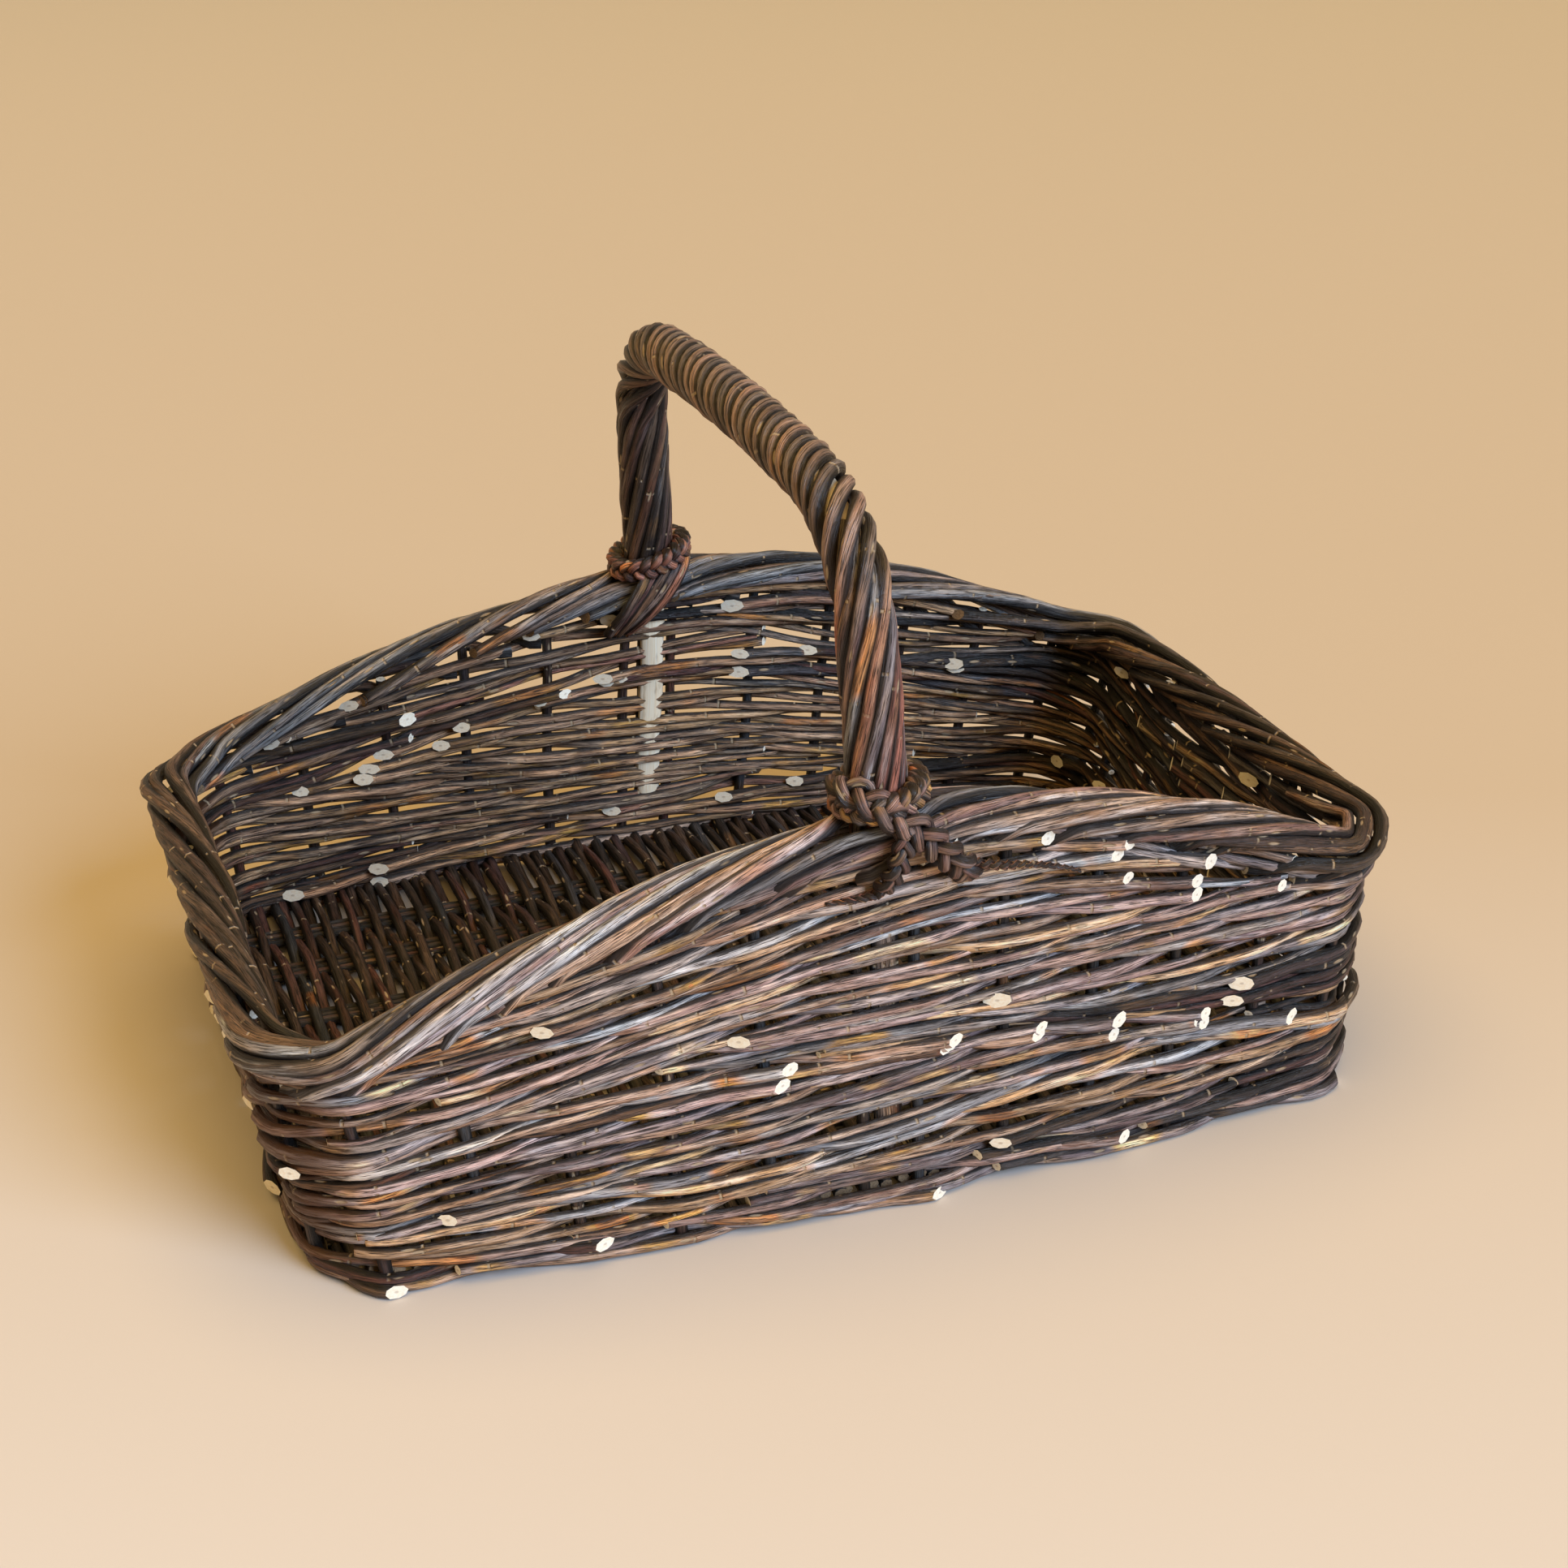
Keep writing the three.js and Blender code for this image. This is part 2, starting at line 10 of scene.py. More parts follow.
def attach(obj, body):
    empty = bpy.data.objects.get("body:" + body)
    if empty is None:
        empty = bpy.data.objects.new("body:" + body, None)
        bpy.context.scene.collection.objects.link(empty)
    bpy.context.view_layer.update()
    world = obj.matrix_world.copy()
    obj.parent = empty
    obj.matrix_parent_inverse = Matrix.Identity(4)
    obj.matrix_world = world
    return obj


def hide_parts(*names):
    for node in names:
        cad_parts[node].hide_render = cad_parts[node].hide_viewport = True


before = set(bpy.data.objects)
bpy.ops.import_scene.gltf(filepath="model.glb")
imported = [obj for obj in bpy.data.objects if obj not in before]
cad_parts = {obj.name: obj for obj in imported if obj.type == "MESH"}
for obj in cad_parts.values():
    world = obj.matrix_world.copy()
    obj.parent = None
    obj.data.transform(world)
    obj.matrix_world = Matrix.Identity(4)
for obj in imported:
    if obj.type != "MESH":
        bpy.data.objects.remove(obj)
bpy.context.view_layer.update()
MM = 0.001
RNG = np.random.RandomState(11)

# The camera of the photograph
PHOTO_WIDTH = 1932
FOCAL_PIXELS = 3186.98
CAMERA_PLACE = (-0.3775, -1.0377, 0.6754)
CAMERA_YAW = 0.3623
CAMERA_PITCH = 0.4655
CAMERA_ROLL = 0.0088

# The walls' middle surface, as in the CAD
FOOT = {"length": 246.5, "width": 166.5, "bow": 12.0}
RIM = {"length": 260.0, "width": 152.0, "bow": 5.0}
CORNER_CUT = 25.0
CORNER_HEIGHTS = {"near": (102.0, 115.0), "far": (103.0, 107.0)}
ARCH_HEIGHTS = {"near": 175.0, "far": 164.0}
ARCH_PEAK_X = 25.0
ARCH_POWER = 1.65
BORDER_HALF_HEIGHT = 12.5
STATION_STEP = 2.0

# The stakes. Numbers 5 and 6 of a long side stand close to the bow, and rods pass the three as one
STAKE_X = (13.0, 57.4, 101.8, 146.2, 190.6)
CORNER_STAKE_X = 235.0
STAKES_PER_END = 6
STAKE_RADIUS = 3.0
BESIDE_BOW = (5, 6)
BOW_GROUP_HALF = 17.0

# The base: its rows of sticks, and its crosswise rods
BASE_ROWS = (-129.7, -94.4, -47.2, 0.0, 47.2, 94.4, 129.7)
BASE_FIRST_X = -238.0
BASE_PITCH = 5.8
BASE_HEIGHT = 7.3
BASE_SWING = 3.5
STICK_HEIGHT = 6.2
STICK_SPACING = 4.5

# The wall rods. They swing round an upright by a share of both radii, and cross from side to side
# over a share of the way between two. A round of laying brings the walls up by a share of their
# height. Butts stand out by a reach that dies away over a length.
WALL_FLOOR = 0.4
TUCK = 0.62
CROSSING_SHARE = 0.9
ROUND_SHARE = 0.55
REVERSED_SHARE = 0.25
REVERSED_FROM = 20.0
MOST_AT_AN_UPRIGHT = 9
BUTT_REACH = 3.4
BUTT_LENGTH = 36.0
CUT_SLANT = 1.5
ROD_STEP = 3
WALL_ROD_SIDES = 8

# Lumps of a rod: how high, how long, and how often they go round it
LUMPS = ((0.05, 15.0, 1), (0.05, 7.3, -2), (0.035, 3.9, 3))

# The border rods: how far apart they start, in stations, how far they lie from the bundle's middle
# sideways and upwards, the angle at which they start round it and by which they turn, and how far
# to the side they pass the bow
BORDER_SPACING = 13.5
BORDER_REACH = 9.6
BORDER_RISE = 8.2
BORDER_START = -52.0
BORDER_TURN = 262.0
BORDER_PAST_BOW = 11.8

# Handle
HANDLE_TOP = {"near": 311.0, "far": 305.0}
HANDLE_LEAN = -9.0
HANDLE_HALF_SPAN = 145.0
SHOULDER_RADIUS = 55.0
CROWN = 3.0
HANDLE_STEP = 2.5
ROPING_RADIUS = 13.0
ROPING_RODS = 12
ROPING_ROD_RADIUS = 3.25
LEG_LAY = 17.0
LAY_GAIN = 39.0
BOW_RADIUS = 6.4
SHAVED_HALF_WIDTH = 6.3


# Small maths

def unit(v):
    v = np.asarray(v, float)
    return v / np.maximum(np.linalg.norm(v, axis=-1, keepdims=True), 1e-12)


def smooth(t):
    t = np.clip(t, 0, 1)
    return t * t * (3 - 2 * t)


def bell(sigma):
    """How far a smoothing reaches, and its weights."""
    reach = int(3 * sigma)
    weights = np.exp(-0.5 * (np.arange(-reach, reach + 1) / sigma) ** 2)
    return reach, weights / weights.sum()


def blur_ring(values, sigma):
    """Smooths a closed row of numbers or points."""
    reach, weights = bell(sigma)
    return sum(w * np.roll(values, k, axis=0) for k, w in zip(range(-reach, reach + 1), weights))


def blur(values, sigma):
    """Smooths an open row of numbers, holding its ends."""
    reach, weights = bell(sigma)
    padded = np.concatenate([np.full(reach, values[0]), values, np.full(reach, values[-1])])
    return np.convolve(padded, weights, "valid")


def travelled(line):
    """How far along a line each of its points lies."""
    return np.concatenate([[0], np.cumsum(np.linalg.norm(np.diff(line, axis=0), axis=1))])


def spline(points, step):
    """A smooth line through points, cut about every step."""
    points = np.asarray(points, float)
    padded = np.vstack([2 * points[0] - points[1], points, 2 * points[-1] - points[-2]])
    line = []
    for a, b, c, d in zip(padded, padded[1:], padded[2:], padded[3:]):
        count = max(2, int(round(np.linalg.norm(c - b) / step)))
        for t in np.arange(count) / count:
            line.append(
                0.5 * (2 * b + (c - a) * t + (2 * a - 5 * b + 4 * c - d) * t**2
                       + (3 * b - a - 3 * c + d) * t**3)
            )
    line.append(points[-1])
    return np.array(line)


# Pieces made of rods

class Bundle:
    """Rods gathered into one piece, with the attributes that its materials read."""

    def __init__(self):
        self.points, self.grain, self.tone = [], [], []
        self.faces, self.slots, self.flat = [], [], []
        self.count = 0

    def rod(self, path, radii, up, sides=WALL_ROD_SIDES, slants=(None, None), caps=(1, 1),
            squash=(1.0, 1.0), skin=0):
        """A round rod along path. up is the way its open side faces, slants how each end is cut,
        caps the material of each cut end, and skin that of its bark."""
        path = np.asarray(path, float)
        count = len(path)
        radii = np.broadcast_to(np.asarray(radii, float), (count,))
        along = unit(np.gradient(path, axis=0))
        up = np.broadcast_to(np.asarray(up, float), path.shape)
        side = unit(np.cross(along, up))
        lift = np.cross(side, along)
        travel = travelled(path)
        angles = np.arange(sides) / sides * 2 * math.pi
        phase = RNG.uniform(0, 2 * math.pi, 4)
        lumps = 1.0
        for (height, length, turns), start in zip(LUMPS, phase):
            lumps = lumps + height * np.sin(travel[:, None] / length + start + turns * angles)
        out = (
            side[:, None, :] * (np.cos(angles) * squash[0])[None, :, None]
            + lift[:, None, :] * (np.sin(angles) * squash[1])[None, :, None]
        )
        offsets = out * (radii[:, None] * lumps)[:, :, None]
        rings = path[:, None, :] + offsets
        for end, slant in ((0, slants[0]), (-1, slants[1])):
            if slant is None:
                continue
            outward = along[end] if end == -1 else -along[end]
            rings[end] -= outward[None, :] * (offsets[end] @ slant)[:, None]
        seed = RNG.uniform(0, 4000)
        grain = np.stack(
            [
                np.repeat(travel + seed, sides),
                (np.cos(angles)[None, :] * radii[:, None]).ravel(),
                (np.sin(angles)[None, :] * radii[:, None]).ravel(),
            ],
            axis=1,
        )
        tone = RNG.uniform(0, 1, 3)
        first = self.count
        ring = np.arange(sides)
        after = (ring + 1) % sides
        for r in range(count - 1):
            low, high = first + r * sides, first + (r + 1) * sides
            quads = np.stack([low + ring, low + after, high + after, high + ring], 1)
            self.faces.extend(quads.tolist())
        self.slots.extend([skin] * (count - 1) * sides)
        self.flat.extend([False] * (count - 1) * sides)
        self.faces.append((first + ring[::-1]).tolist())
        self.faces.append((first + (count - 1) * sides + ring).tolist())
        self.slots.extend(caps)
        self.flat.extend([True, True])
        self.points.append(rings.reshape(-1, 3))
        self.grain.append(grain)
        self.tone.append(np.tile(tone, (count * sides, 1)))
        self.count += count * sides

    def piece(self, name, materials, slot, nodes, body="root"):
        """Makes the mesh. It rides on a body and stands for those CAD nodes."""
        points = np.concatenate(self.points) * MM
        mesh = bpy.data.meshes.new(name)
        mesh.from_pydata(points.tolist(), [], self.faces)
        for title, rows in (("grain", self.grain), ("tone", self.tone)):
            values = np.concatenate(rows).astype(np.float32)
            mesh.attributes.new(title, "FLOAT_VECTOR", "POINT").data.foreach_set(
                "vector", values.ravel()
            )
        mesh.polygons.foreach_set("material_index", np.array(self.slots, np.int32))
        mesh.polygons.foreach_set("use_smooth", ~np.array(self.flat))
        mesh.update()
        for material in materials:
            mesh.materials.append(material)
        obj = bpy.data.objects.new(name, mesh)
        bpy.context.scene.collection.objects.link(obj)
        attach(obj, body)
        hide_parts(*nodes)


# Materials

class Finish:
    """A procedural material and the short calls that build it."""

    def __init__(self, name, roughness=0.5, specular=0.5):
        self.material = bpy.data.materials.new(name)
        self.material.use_nodes = True
        self.tree = self.material.node_tree
        self.shader = self.tree.nodes["Principled BSDF"]
        self.shader.inputs["Roughness"].default_value = roughness
        self.shader.inputs["Specular IOR Level"].default_value = specular

    def node(self, kind, **settings):
        made = self.tree.nodes.new(kind)
        for key, value in settings.items():
            setattr(made, key, value)
        return made

    def put(self, socket, value):
        if isinstance(value, bpy.types.NodeSocket):
            self.tree.links.new(value, socket)
        else:
            socket.default_value = value

    def attribute(self, title):
        return self.node("ShaderNodeAttribute", attribute_name=title).outputs["Vector"]

    def split(self, vector):
        made = self.node("ShaderNodeSeparateXYZ")
        self.put(made.inputs[0], vector)
        return made.outputs

    def maths(self, operation, a, b=0.0):
        made = self.node("ShaderNodeMath", operation=operation)
        self.put(made.inputs[0], a)
        self.put(made.inputs[1], b)
        return made.outputs[0]

    def stretch(self, vector, scale, shift=(0, 0, 0)):
        made = self.node("ShaderNodeMapping")
        self.put(made.inputs["Vector"], vector)
        made.inputs["Scale"].default_value = scale
        made.inputs["Location"].default_value = shift
        return made.outputs[0]

    def noise(self, vector, scale=1.0, detail=3.0, roughness=0.55):
        made = self.node("ShaderNodeTexNoise")
        self.put(made.inputs["Vector"], vector)
        made.inputs["Scale"].default_value = scale
        made.inputs["Detail"].default_value = detail
        made.inputs["Roughness"].default_value = roughness
        return made.outputs["Fac"]

    def ramp(self, factor, stops):
        made = self.node("ShaderNodeValToRGB")
        self.put(made.inputs[0], factor)
        elements = made.color_ramp.elements
        while len(elements) < len(stops):
            elements.new(0.5)
        for element, (place, colour) in zip(elements, stops):
            element.position = place
            element.color = (*colour, 1.0)
        return made.outputs[0]

    def window(self, factor, low, high, start=0.0, end=1.0):
        """start up to low, end from high on, and even between them."""
        made = self.node("ShaderNodeMapRange", clamp=True)
        self.put(made.inputs["Value"], factor)
        made.inputs["From Min"].default_value = low
        made.inputs["From Max"].default_value = high
        made.inputs["To Min"].default_value = start
        made.inputs["To Max"].default_value = end
        return made.outputs[0]

    def from_axis(self, across, out):
        """How far a point lies from its rod's middle line."""
        squares = [self.maths("POWER", part, 2.0) for part in (across, out)]
        return self.maths("SQRT", self.maths("ADD", *squares))

    def mix(self, factor, a, b, blend="MIX", clamp=False):
        made = self.node("ShaderNodeMix", data_type="RGBA", blend_type=blend, clamp_result=clamp)
        self.put(made.inputs[0], factor)
        self.put(made.inputs[6], a)
        self.put(made.inputs[7], b)
        return made.outputs[2]

    def bump(self, height, strength, distance):
        made = self.node("ShaderNodeBump")
        made.inputs["Strength"].default_value = strength
        made.inputs["Distance"].default_value = distance
        self.put(made.inputs["Height"], height)
        self.put(self.shader.inputs["Normal"], made.outputs[0])


# Linear colours of willow: dark barks, the bloom on them, which also gives a painted highlight,
# and where they are rubbed or peeled
COLOURS = {
    "plum": (0.115, 0.058, 0.050),
    "wine": (0.210, 0.072, 0.050),
    "umber": (0.150, 0.082, 0.046),
    "brown": (0.280, 0.150, 0.078),
    "mauve": (0.310, 0.190, 0.165),
    "tan": (0.380, 0.215, 0.098),
    "slate": (0.085, 0.092, 0.104),
    "steel": (0.205, 0.212, 0.222),
    "ink": (0.030, 0.025, 0.024),
    "pink": (0.700, 0.520, 0.430),
    "blue": (0.480, 0.520, 0.550),
    "ash": (0.560, 0.400, 0.280),
    "fawn": (0.740, 0.560, 0.380),
    "ochre": (0.520, 0.280, 0.065),
    "orange": (0.600, 0.210, 0.055),
    "red": (0.420, 0.110, 0.045),
}
GROOVE = (0.100, 0.050, 0.025, 1.0)
TOP_OLIVE_GREY = (0.135, 0.104, 0.070, 1.0)
# painted shade between rods, near black
PAINTED_SHADE_BETWEEN_RODS = (0.008, 0.005, 0.004, 1.0)
SCAR = (0.500, 0.360, 0.220, 1.0)
PITH = (0.300, 0.170, 0.080, 1.0)
SPOT = (0.420, 0.270, 0.140, 1.0)
# a painted highlight: how much paler the ridges are
HIGHLIGHT_GAIN = (1.6, 1.6, 1.6, 1.0)
# creases partly dark bark and partly painted shade, and a painted highlight on the fine ridges
CREASE_SHADE_AND_HIGHLIGHT = [(0.38, (0.12, 0.10, 0.09)), (0.48, (1.0, 1.0, 1.0)), (0.64, (1.6, 1.6, 1.6))]
SHAVED = [(0.3, (0.93, 0.69, 0.44)), (0.5, (0.99, 0.80, 0.56)), (0.7, (0.99, 0.87, 0.68))]
LEAF_SPACING = 43.0
SCAR_SPACING = (21.0, 5.2, 5.2)


def even(names):
    """Stops of those colours at even places."""
    names = names.split()
    return [(i / (len(names) - 1), COLOURS[name]) for i, name in enumerate(names)]


def bark(name, tones, bloom_highlight_colours, patches, depth, gloss=0.42, patch_from=0.56, bloom_highlight_amount=0.8,
         shade=(0.46, 0.82), olive_grey_above=None, painted_shades=()):
    """Willow bark: a dark tone for each rod under a paler bloom on its ridges, partly a painted
    highlight, with patches and black creases along it, pale leaf rings and scars. The creases are
    partly painted shade, and their fine ridges take a painted highlight. Three lists name its
    colours: the tones, the blooms and the patches, and depth multiplies them. shade is where its
    flanks take painted shade towards their neighbours. It turns olive-grey above a height, and a
    list of painted shades says where along an axis it darkens: the axis, from, to, by how much and
    towards what."""
    m = Finish(name, gloss)
    grain, tone = m.attribute("grain"), m.split(m.attribute("tone"))
    along, across, out = m.split(grain)
    drift = m.noise(m.stretch(grain, (0.016, 0.02, 0.02)), detail=2.0)
    streak = m.noise(m.stretch(grain, (0.035, 0.38, 0.38)), detail=4.0, roughness=0.6)
    fine = m.noise(m.stretch(grain, (0.10, 2.1, 2.1), (7, 3, 2)), detail=3.0, roughness=0.6)
    drifted = m.maths("FRACT", m.maths("ADD", tone[1], m.maths("MULTIPLY", drift, 1.5)))
    colour = m.ramp(tone[0], even(tones))
    # the ridges: a paler bloom, partly the bark's own colour and partly a painted highlight
    lit = m.mix(1.0, colour, HIGHLIGHT_GAIN, "MULTIPLY")
    bloom_and_highlight = m.mix(0.4, lit, m.ramp(drifted, even(bloom_highlight_colours)))
    colour = m.mix(m.window(streak, 0.42, 0.62, 0.0, bloom_highlight_amount), colour, bloom_and_highlight)
    patch = m.mix(m.window(streak, 0.35, 0.6), GROOVE, m.ramp(drifted, even(patches)))
    colour = m.mix(m.window(drift, patch_from, patch_from + 0.06), colour, patch)
    place = m.split(m.node("ShaderNodeTexCoord").outputs["Object"])
    if olive_grey_above:
        high = m.window(place[2], olive_grey_above * MM, olive_grey_above * MM + 0.03, 0.0, 0.6)
        colour = m.mix(high, colour, TOP_OLIVE_GREY)
    # bark wrinkles: creases partly dark of their own and partly painted shade, with a painted
    # highlight on the fine ridges
    colour = m.mix(1.0, colour, m.ramp(fine, CREASE_SHADE_AND_HIGHLIGHT), "MULTIPLY")
    # painted shade: dark where rods lie against their neighbours
    aside = m.maths("DIVIDE", m.maths("ABSOLUTE", across), m.from_axis(across, out))
    colour = m.mix(m.window(aside, *shade, 0.0, 0.94), colour, PAINTED_SHADE_BETWEEN_RODS)
    # some rods lighter than others
    lightness = m.window(tone[2], 0.0, 1.0, 0.66 * depth, 1.34 * depth)
    level = m.node("ShaderNodeCombineColor")
    for socket in level.inputs:
        m.put(socket, lightness)
    colour = m.mix(1.0, colour, level.outputs[0], "MULTIPLY", clamp=True)
    # painted shade along an axis, where a part stands in shadow
    for axis, begin, end, amount, dark in painted_shades:
        shaded_share = m.window(place["xyz".index(axis)], begin * MM, end * MM, 0.0, amount)
        colour = m.mix(shaded_share, colour, dark)
    # leaf rings, broken round the rod
    turns = m.maths("FRACT", m.maths("MULTIPLY", along, 1 / LEAF_SPACING))
    from_ring = m.maths("ABSOLUTE", m.maths("SUBTRACT", turns, 0.5))
    patchy = m.noise(m.stretch(grain, (0.05, 0.35, 0.35), (9, 4, 1)), detail=1.0)
    ring = m.window(from_ring, 0.008, 0.022, 1.0, 0.0)
    ring = m.maths("MULTIPLY", ring, m.window(patchy, 0.50, 0.60))
    # bud scars
    cells = m.node("ShaderNodeTexVoronoi")
    cell_scale = tuple(1 / size for size in SCAR_SPACING)
    m.put(cells.inputs["Vector"], m.stretch(grain, cell_scale, (0.3, 0.2, 0.7)))
    cells.inputs["Scale"].default_value = 1.0
    mark = m.maths("MAXIMUM", ring, m.window(cells.outputs["Distance"], 0.10, 0.17, 1.0, 0.0))
    colour = m.mix(m.maths("MULTIPLY", mark, 0.8), colour, SCAR)
    m.put(m.shader.inputs["Base Color"], colour)
    m.put(m.shader.inputs["Roughness"], m.window(streak, 0.3, 0.7, gloss + 0.16, gloss - 0.08))
    height = m.maths("ADD", streak, m.maths("MULTIPLY", fine, 0.55))
    height = m.maths("ADD", height, m.maths("MULTIPLY", mark, 0.5))
    m.bump(height, 1.0, 0.0016)
    return m.material


def cut_wood(name, colour, rim_colour):
    """A cut end: pale wood with its pith in the middle, mottled darker."""
    m = Finish(name, 0.7, 0.3)
    grain = m.attribute("grain")
    _, across, out = m.split(grain)
    mottle = m.noise(m.stretch(grain, (0.3, 1.3, 1.3)), detail=3.0)
    wood = m.ramp(mottle, [(0.3, rim_colour), (0.6, colour)])
    wood = m.mix(m.window(m.from_axis(across, out), 0.35, 0.7, 0.4, 0.0), wood, PITH)
    m.put(m.shader.inputs["Base Color"], wood)
    m.bump(m.noise(m.stretch(grain, (1, 3, 3)), detail=2.0), 0.4, 0.0005)
    return m.material


def peeled(name):
    """Shaved white willow with faint grain along it."""
    m = Finish(name, 0.55, 0.4)
    grain = m.attribute("grain")
    streak = m.noise(m.stretch(grain, (0.03, 0.8, 0.8)), detail=4.0, roughness=0.6)
    spots = m.noise(m.stretch(grain, (0.08, 0.3, 0.3), (3, 1, 5)), detail=2.0)
    colour = m.mix(m.window(spots, 0.6, 0.75, 0.0, 0.5), m.ramp(streak, SHAVED), SPOT)
    m.put(m.shader.inputs["Base Color"], colour)
    m.bump(streak, 0.4, 0.0005)
    return m.material


# Painted shade: where the left end, the right end and the far leg stand in shadow, the bark darkens
# along an axis
LEFT_END_PAINTED_SHADE = ("x", -228.0, -246.0, 0.76, (0.078, 0.023, 0.003, 1.0))
RIGHT_END_PAINTED_SHADE = ("x", 222.0, 246.0, 0.62, (0.012, 0.008, 0.006, 1.0))
FAR_LEG_PAINTED_SHADE = ("y", 105.0, 135.0, 0.7, (0.014, 0.010, 0.008, 1.0))
WALL_BARKS = {
    "near": bark(
        "outer_bark",
        "mauve umber steel brown plum slate mauve brown steel plum slate tan umber",
        "pink blue ash pink fawn blue ash",
        "orange tan ochre fawn orange ochre",
        depth=1.5, gloss=0.37, patch_from=0.55, shade=(0.54, 0.86), painted_shades=[LEFT_END_PAINTED_SHADE, RIGHT_END_PAINTED_SHADE],
    ),
    "far": bark(
        "inner_bark",
        "plum brown umber tan wine brown slate ink brown tan",
        "ash tan fawn tan ash",
        "ochre orange tan umber ochre",
        depth=1.3, gloss=0.37, patch_from=0.53, shade=(0.42, 0.77), painted_shades=[LEFT_END_PAINTED_SHADE, RIGHT_END_PAINTED_SHADE],
    ),
    # the right end, darker as painted shade: its inside stands in shadow
    "right": bark(
        "shaded_bark",
        "plum ink umber slate wine plum ink umber",
        "umber slate wine tan",
        "ochre umber tan orange",
        depth=0.38, bloom_highlight_amount=0.5,
    ),
    # the left end, darker as painted shade: its outside stands in shadow
    "left": bark(
        "left_shaded_bark",
        "plum wine umber ink brown wine",
        "tan ochre wine umber",
        "orange ochre red tan",
        depth=0.42, bloom_highlight_amount=0.6,
    ),
}
BORDER_BARKS = {
    side: bark(
        f"{side}_border_bark",
        "slate umber plum steel ink brown slate umber slate",
        "ash blue tan blue umber ash",
        "umber orange tan umber ochre",
        depth=depth, patch_from=0.6, bloom_highlight_amount=0.9, shade=(0.52, 0.84),
    )
    for side, depth in (("near", 1.9), ("far", 1.0))
}
# painted shade: the ends' border is darker, as it stands in shadow at both ends
SHADED_END_BORDER_BARK = bark(
    "end_border_shaded_bark",
    "plum umber ink brown plum umber slate",
    "ash tan umber tan",
    "umber orange tan ochre",
    depth=0.45, patch_from=0.6, bloom_highlight_amount=0.7, shade=(0.52, 0.84),
)
BASE_BARK = bark(
    "base_bark",
    "plum umber ink wine slate ink",
    "umber tan slate ash",
    "umber wine tan orange",
    depth=0.35, gloss=0.5, patch_from=0.6, bloom_highlight_amount=0.6,
)
HANDLE_BARK = bark(
    "handle_bark",
    "umber plum wine ink brown slate wine umber",
    "tan ash wine blue tan",
    "tan red ochre orange tan",
    depth=1.35, gloss=0.36, patch_from=0.58, bloom_highlight_amount=0.9, shade=(0.46, 0.80), olive_grey_above=262.0,
    painted_shades=[FAR_LEG_PAINTED_SHADE],
)
TIE_BARK = bark(
    "tie_bark",
    "ink plum umber wine ink",
    "tan wine ash umber",
    "red orange umber ochre",
    depth=1.35, gloss=0.34, patch_from=0.54, shade=(0.46, 0.80),
)
CUT_CREAM = cut_wood("cut_cream", (0.99, 0.90, 0.74), (0.92, 0.77, 0.56))
CUT_BROWN = cut_wood("cut_brown", (0.34, 0.22, 0.12), (0.15, 0.09, 0.055))
PEELED = peeled("peeled_willow")


# The walls' surface, as stations round the trug

def arch_height(side, x):
    """The border's height over the ground, along a long side."""
    corner = np.where(x < ARCH_PEAK_X, *CORNER_HEIGHTS[side])
    end = np.where(x < ARCH_PEAK_X, -1, 1) * (RIM["length"] - CORNER_CUT)
    share = np.clip(np.abs((x - ARCH_PEAK_X) / (end - ARCH_PEAK_X)), 0, 1)
    return corner + (ARCH_HEIGHTS[side] - corner) * (1 - share**ARCH_POWER)


def side_line(side, share):
    """A long side's foot and rim, at shares of the way from its middle to its ends."""
    sign = -1 if side == "near" else 1
    lines = []
    for plan in (FOOT, RIM):
        x = share * (plan["length"] - CORNER_CUT)
        y = sign * (plan["width"] + plan["bow"] * (1 - share**2))
        lines.append(np.stack([x, y, arch_height(side, share * (RIM["length"] - CORNER_CUT))], 1))
    lines[0][:, 2] = 0
    return lines


def end_line(end, share):
    """The same for a short side."""
    sign, hand = (-1, 0) if end == "left" else (1, 1)
    low, high = CORNER_HEIGHTS["near"][hand], CORNER_HEIGHTS["far"][hand]
    lines = []
    for plan in (FOOT, RIM):
        y = share * (plan["width"] - CORNER_CUT)
        z = low + (high - low) * (share + 1) / 2
        lines.append(np.stack([np.full_like(y, sign * plan["length"]), y, z], 1))
    lines[0][:, 2] = 0
    return lines


def make_stations():
    """The foot and the rim of the walls as two closed rows of points, STATION_STEP apart."""
    share = np.linspace(-1, 1, 240)
    runs = [
        side_line("near", share), end_line("right", share),
        side_line("far", share[::-1]), end_line("left", share[::-1]),
    ]
    foot, rim = [], []
    for i, run in enumerate(runs):
        following = runs[(i + 1) % 4]
        step = np.linspace(0, 1, 20)[1:-1, None]
        for line, place in ((foot, 0), (rim, 1)):
            line.append(run[place])
            line.append(run[place][-1] * (1 - step) + following[place][0] * step)
    foot, rim = np.concatenate(foot), np.concatenate(rim)
    middle = (foot + rim)[:, :2] / 2
    gaps = np.linalg.norm(np.roll(middle, -1, 0) - middle, axis=1)
    travel = np.concatenate([[0], np.cumsum(gaps)])
    count = int(round(travel[-1] / STATION_STEP))
    even_places = np.arange(count) * travel[-1] / count

    def resample(line):
        closed = np.vstack([line, line[:1]])
        return np.stack([np.interp(even_places, travel, closed[:, k]) for k in range(3)], 1)

    return blur_ring(resample(foot), 4), blur_ring(resample(rim), 4)


FOOT_LINE, RIM_LINE = make_stations()
STATIONS = len(FOOT_LINE)
MID_LINE = (FOOT_LINE + RIM_LINE) / 2
TRAVEL = np.roll(MID_LINE, -1, 0) - np.roll(MID_LINE, 1, 0)
OUTWARD = unit(np.stack([TRAVEL[:, 1], -TRAVEL[:, 0], np.zeros(STATIONS)], 1))


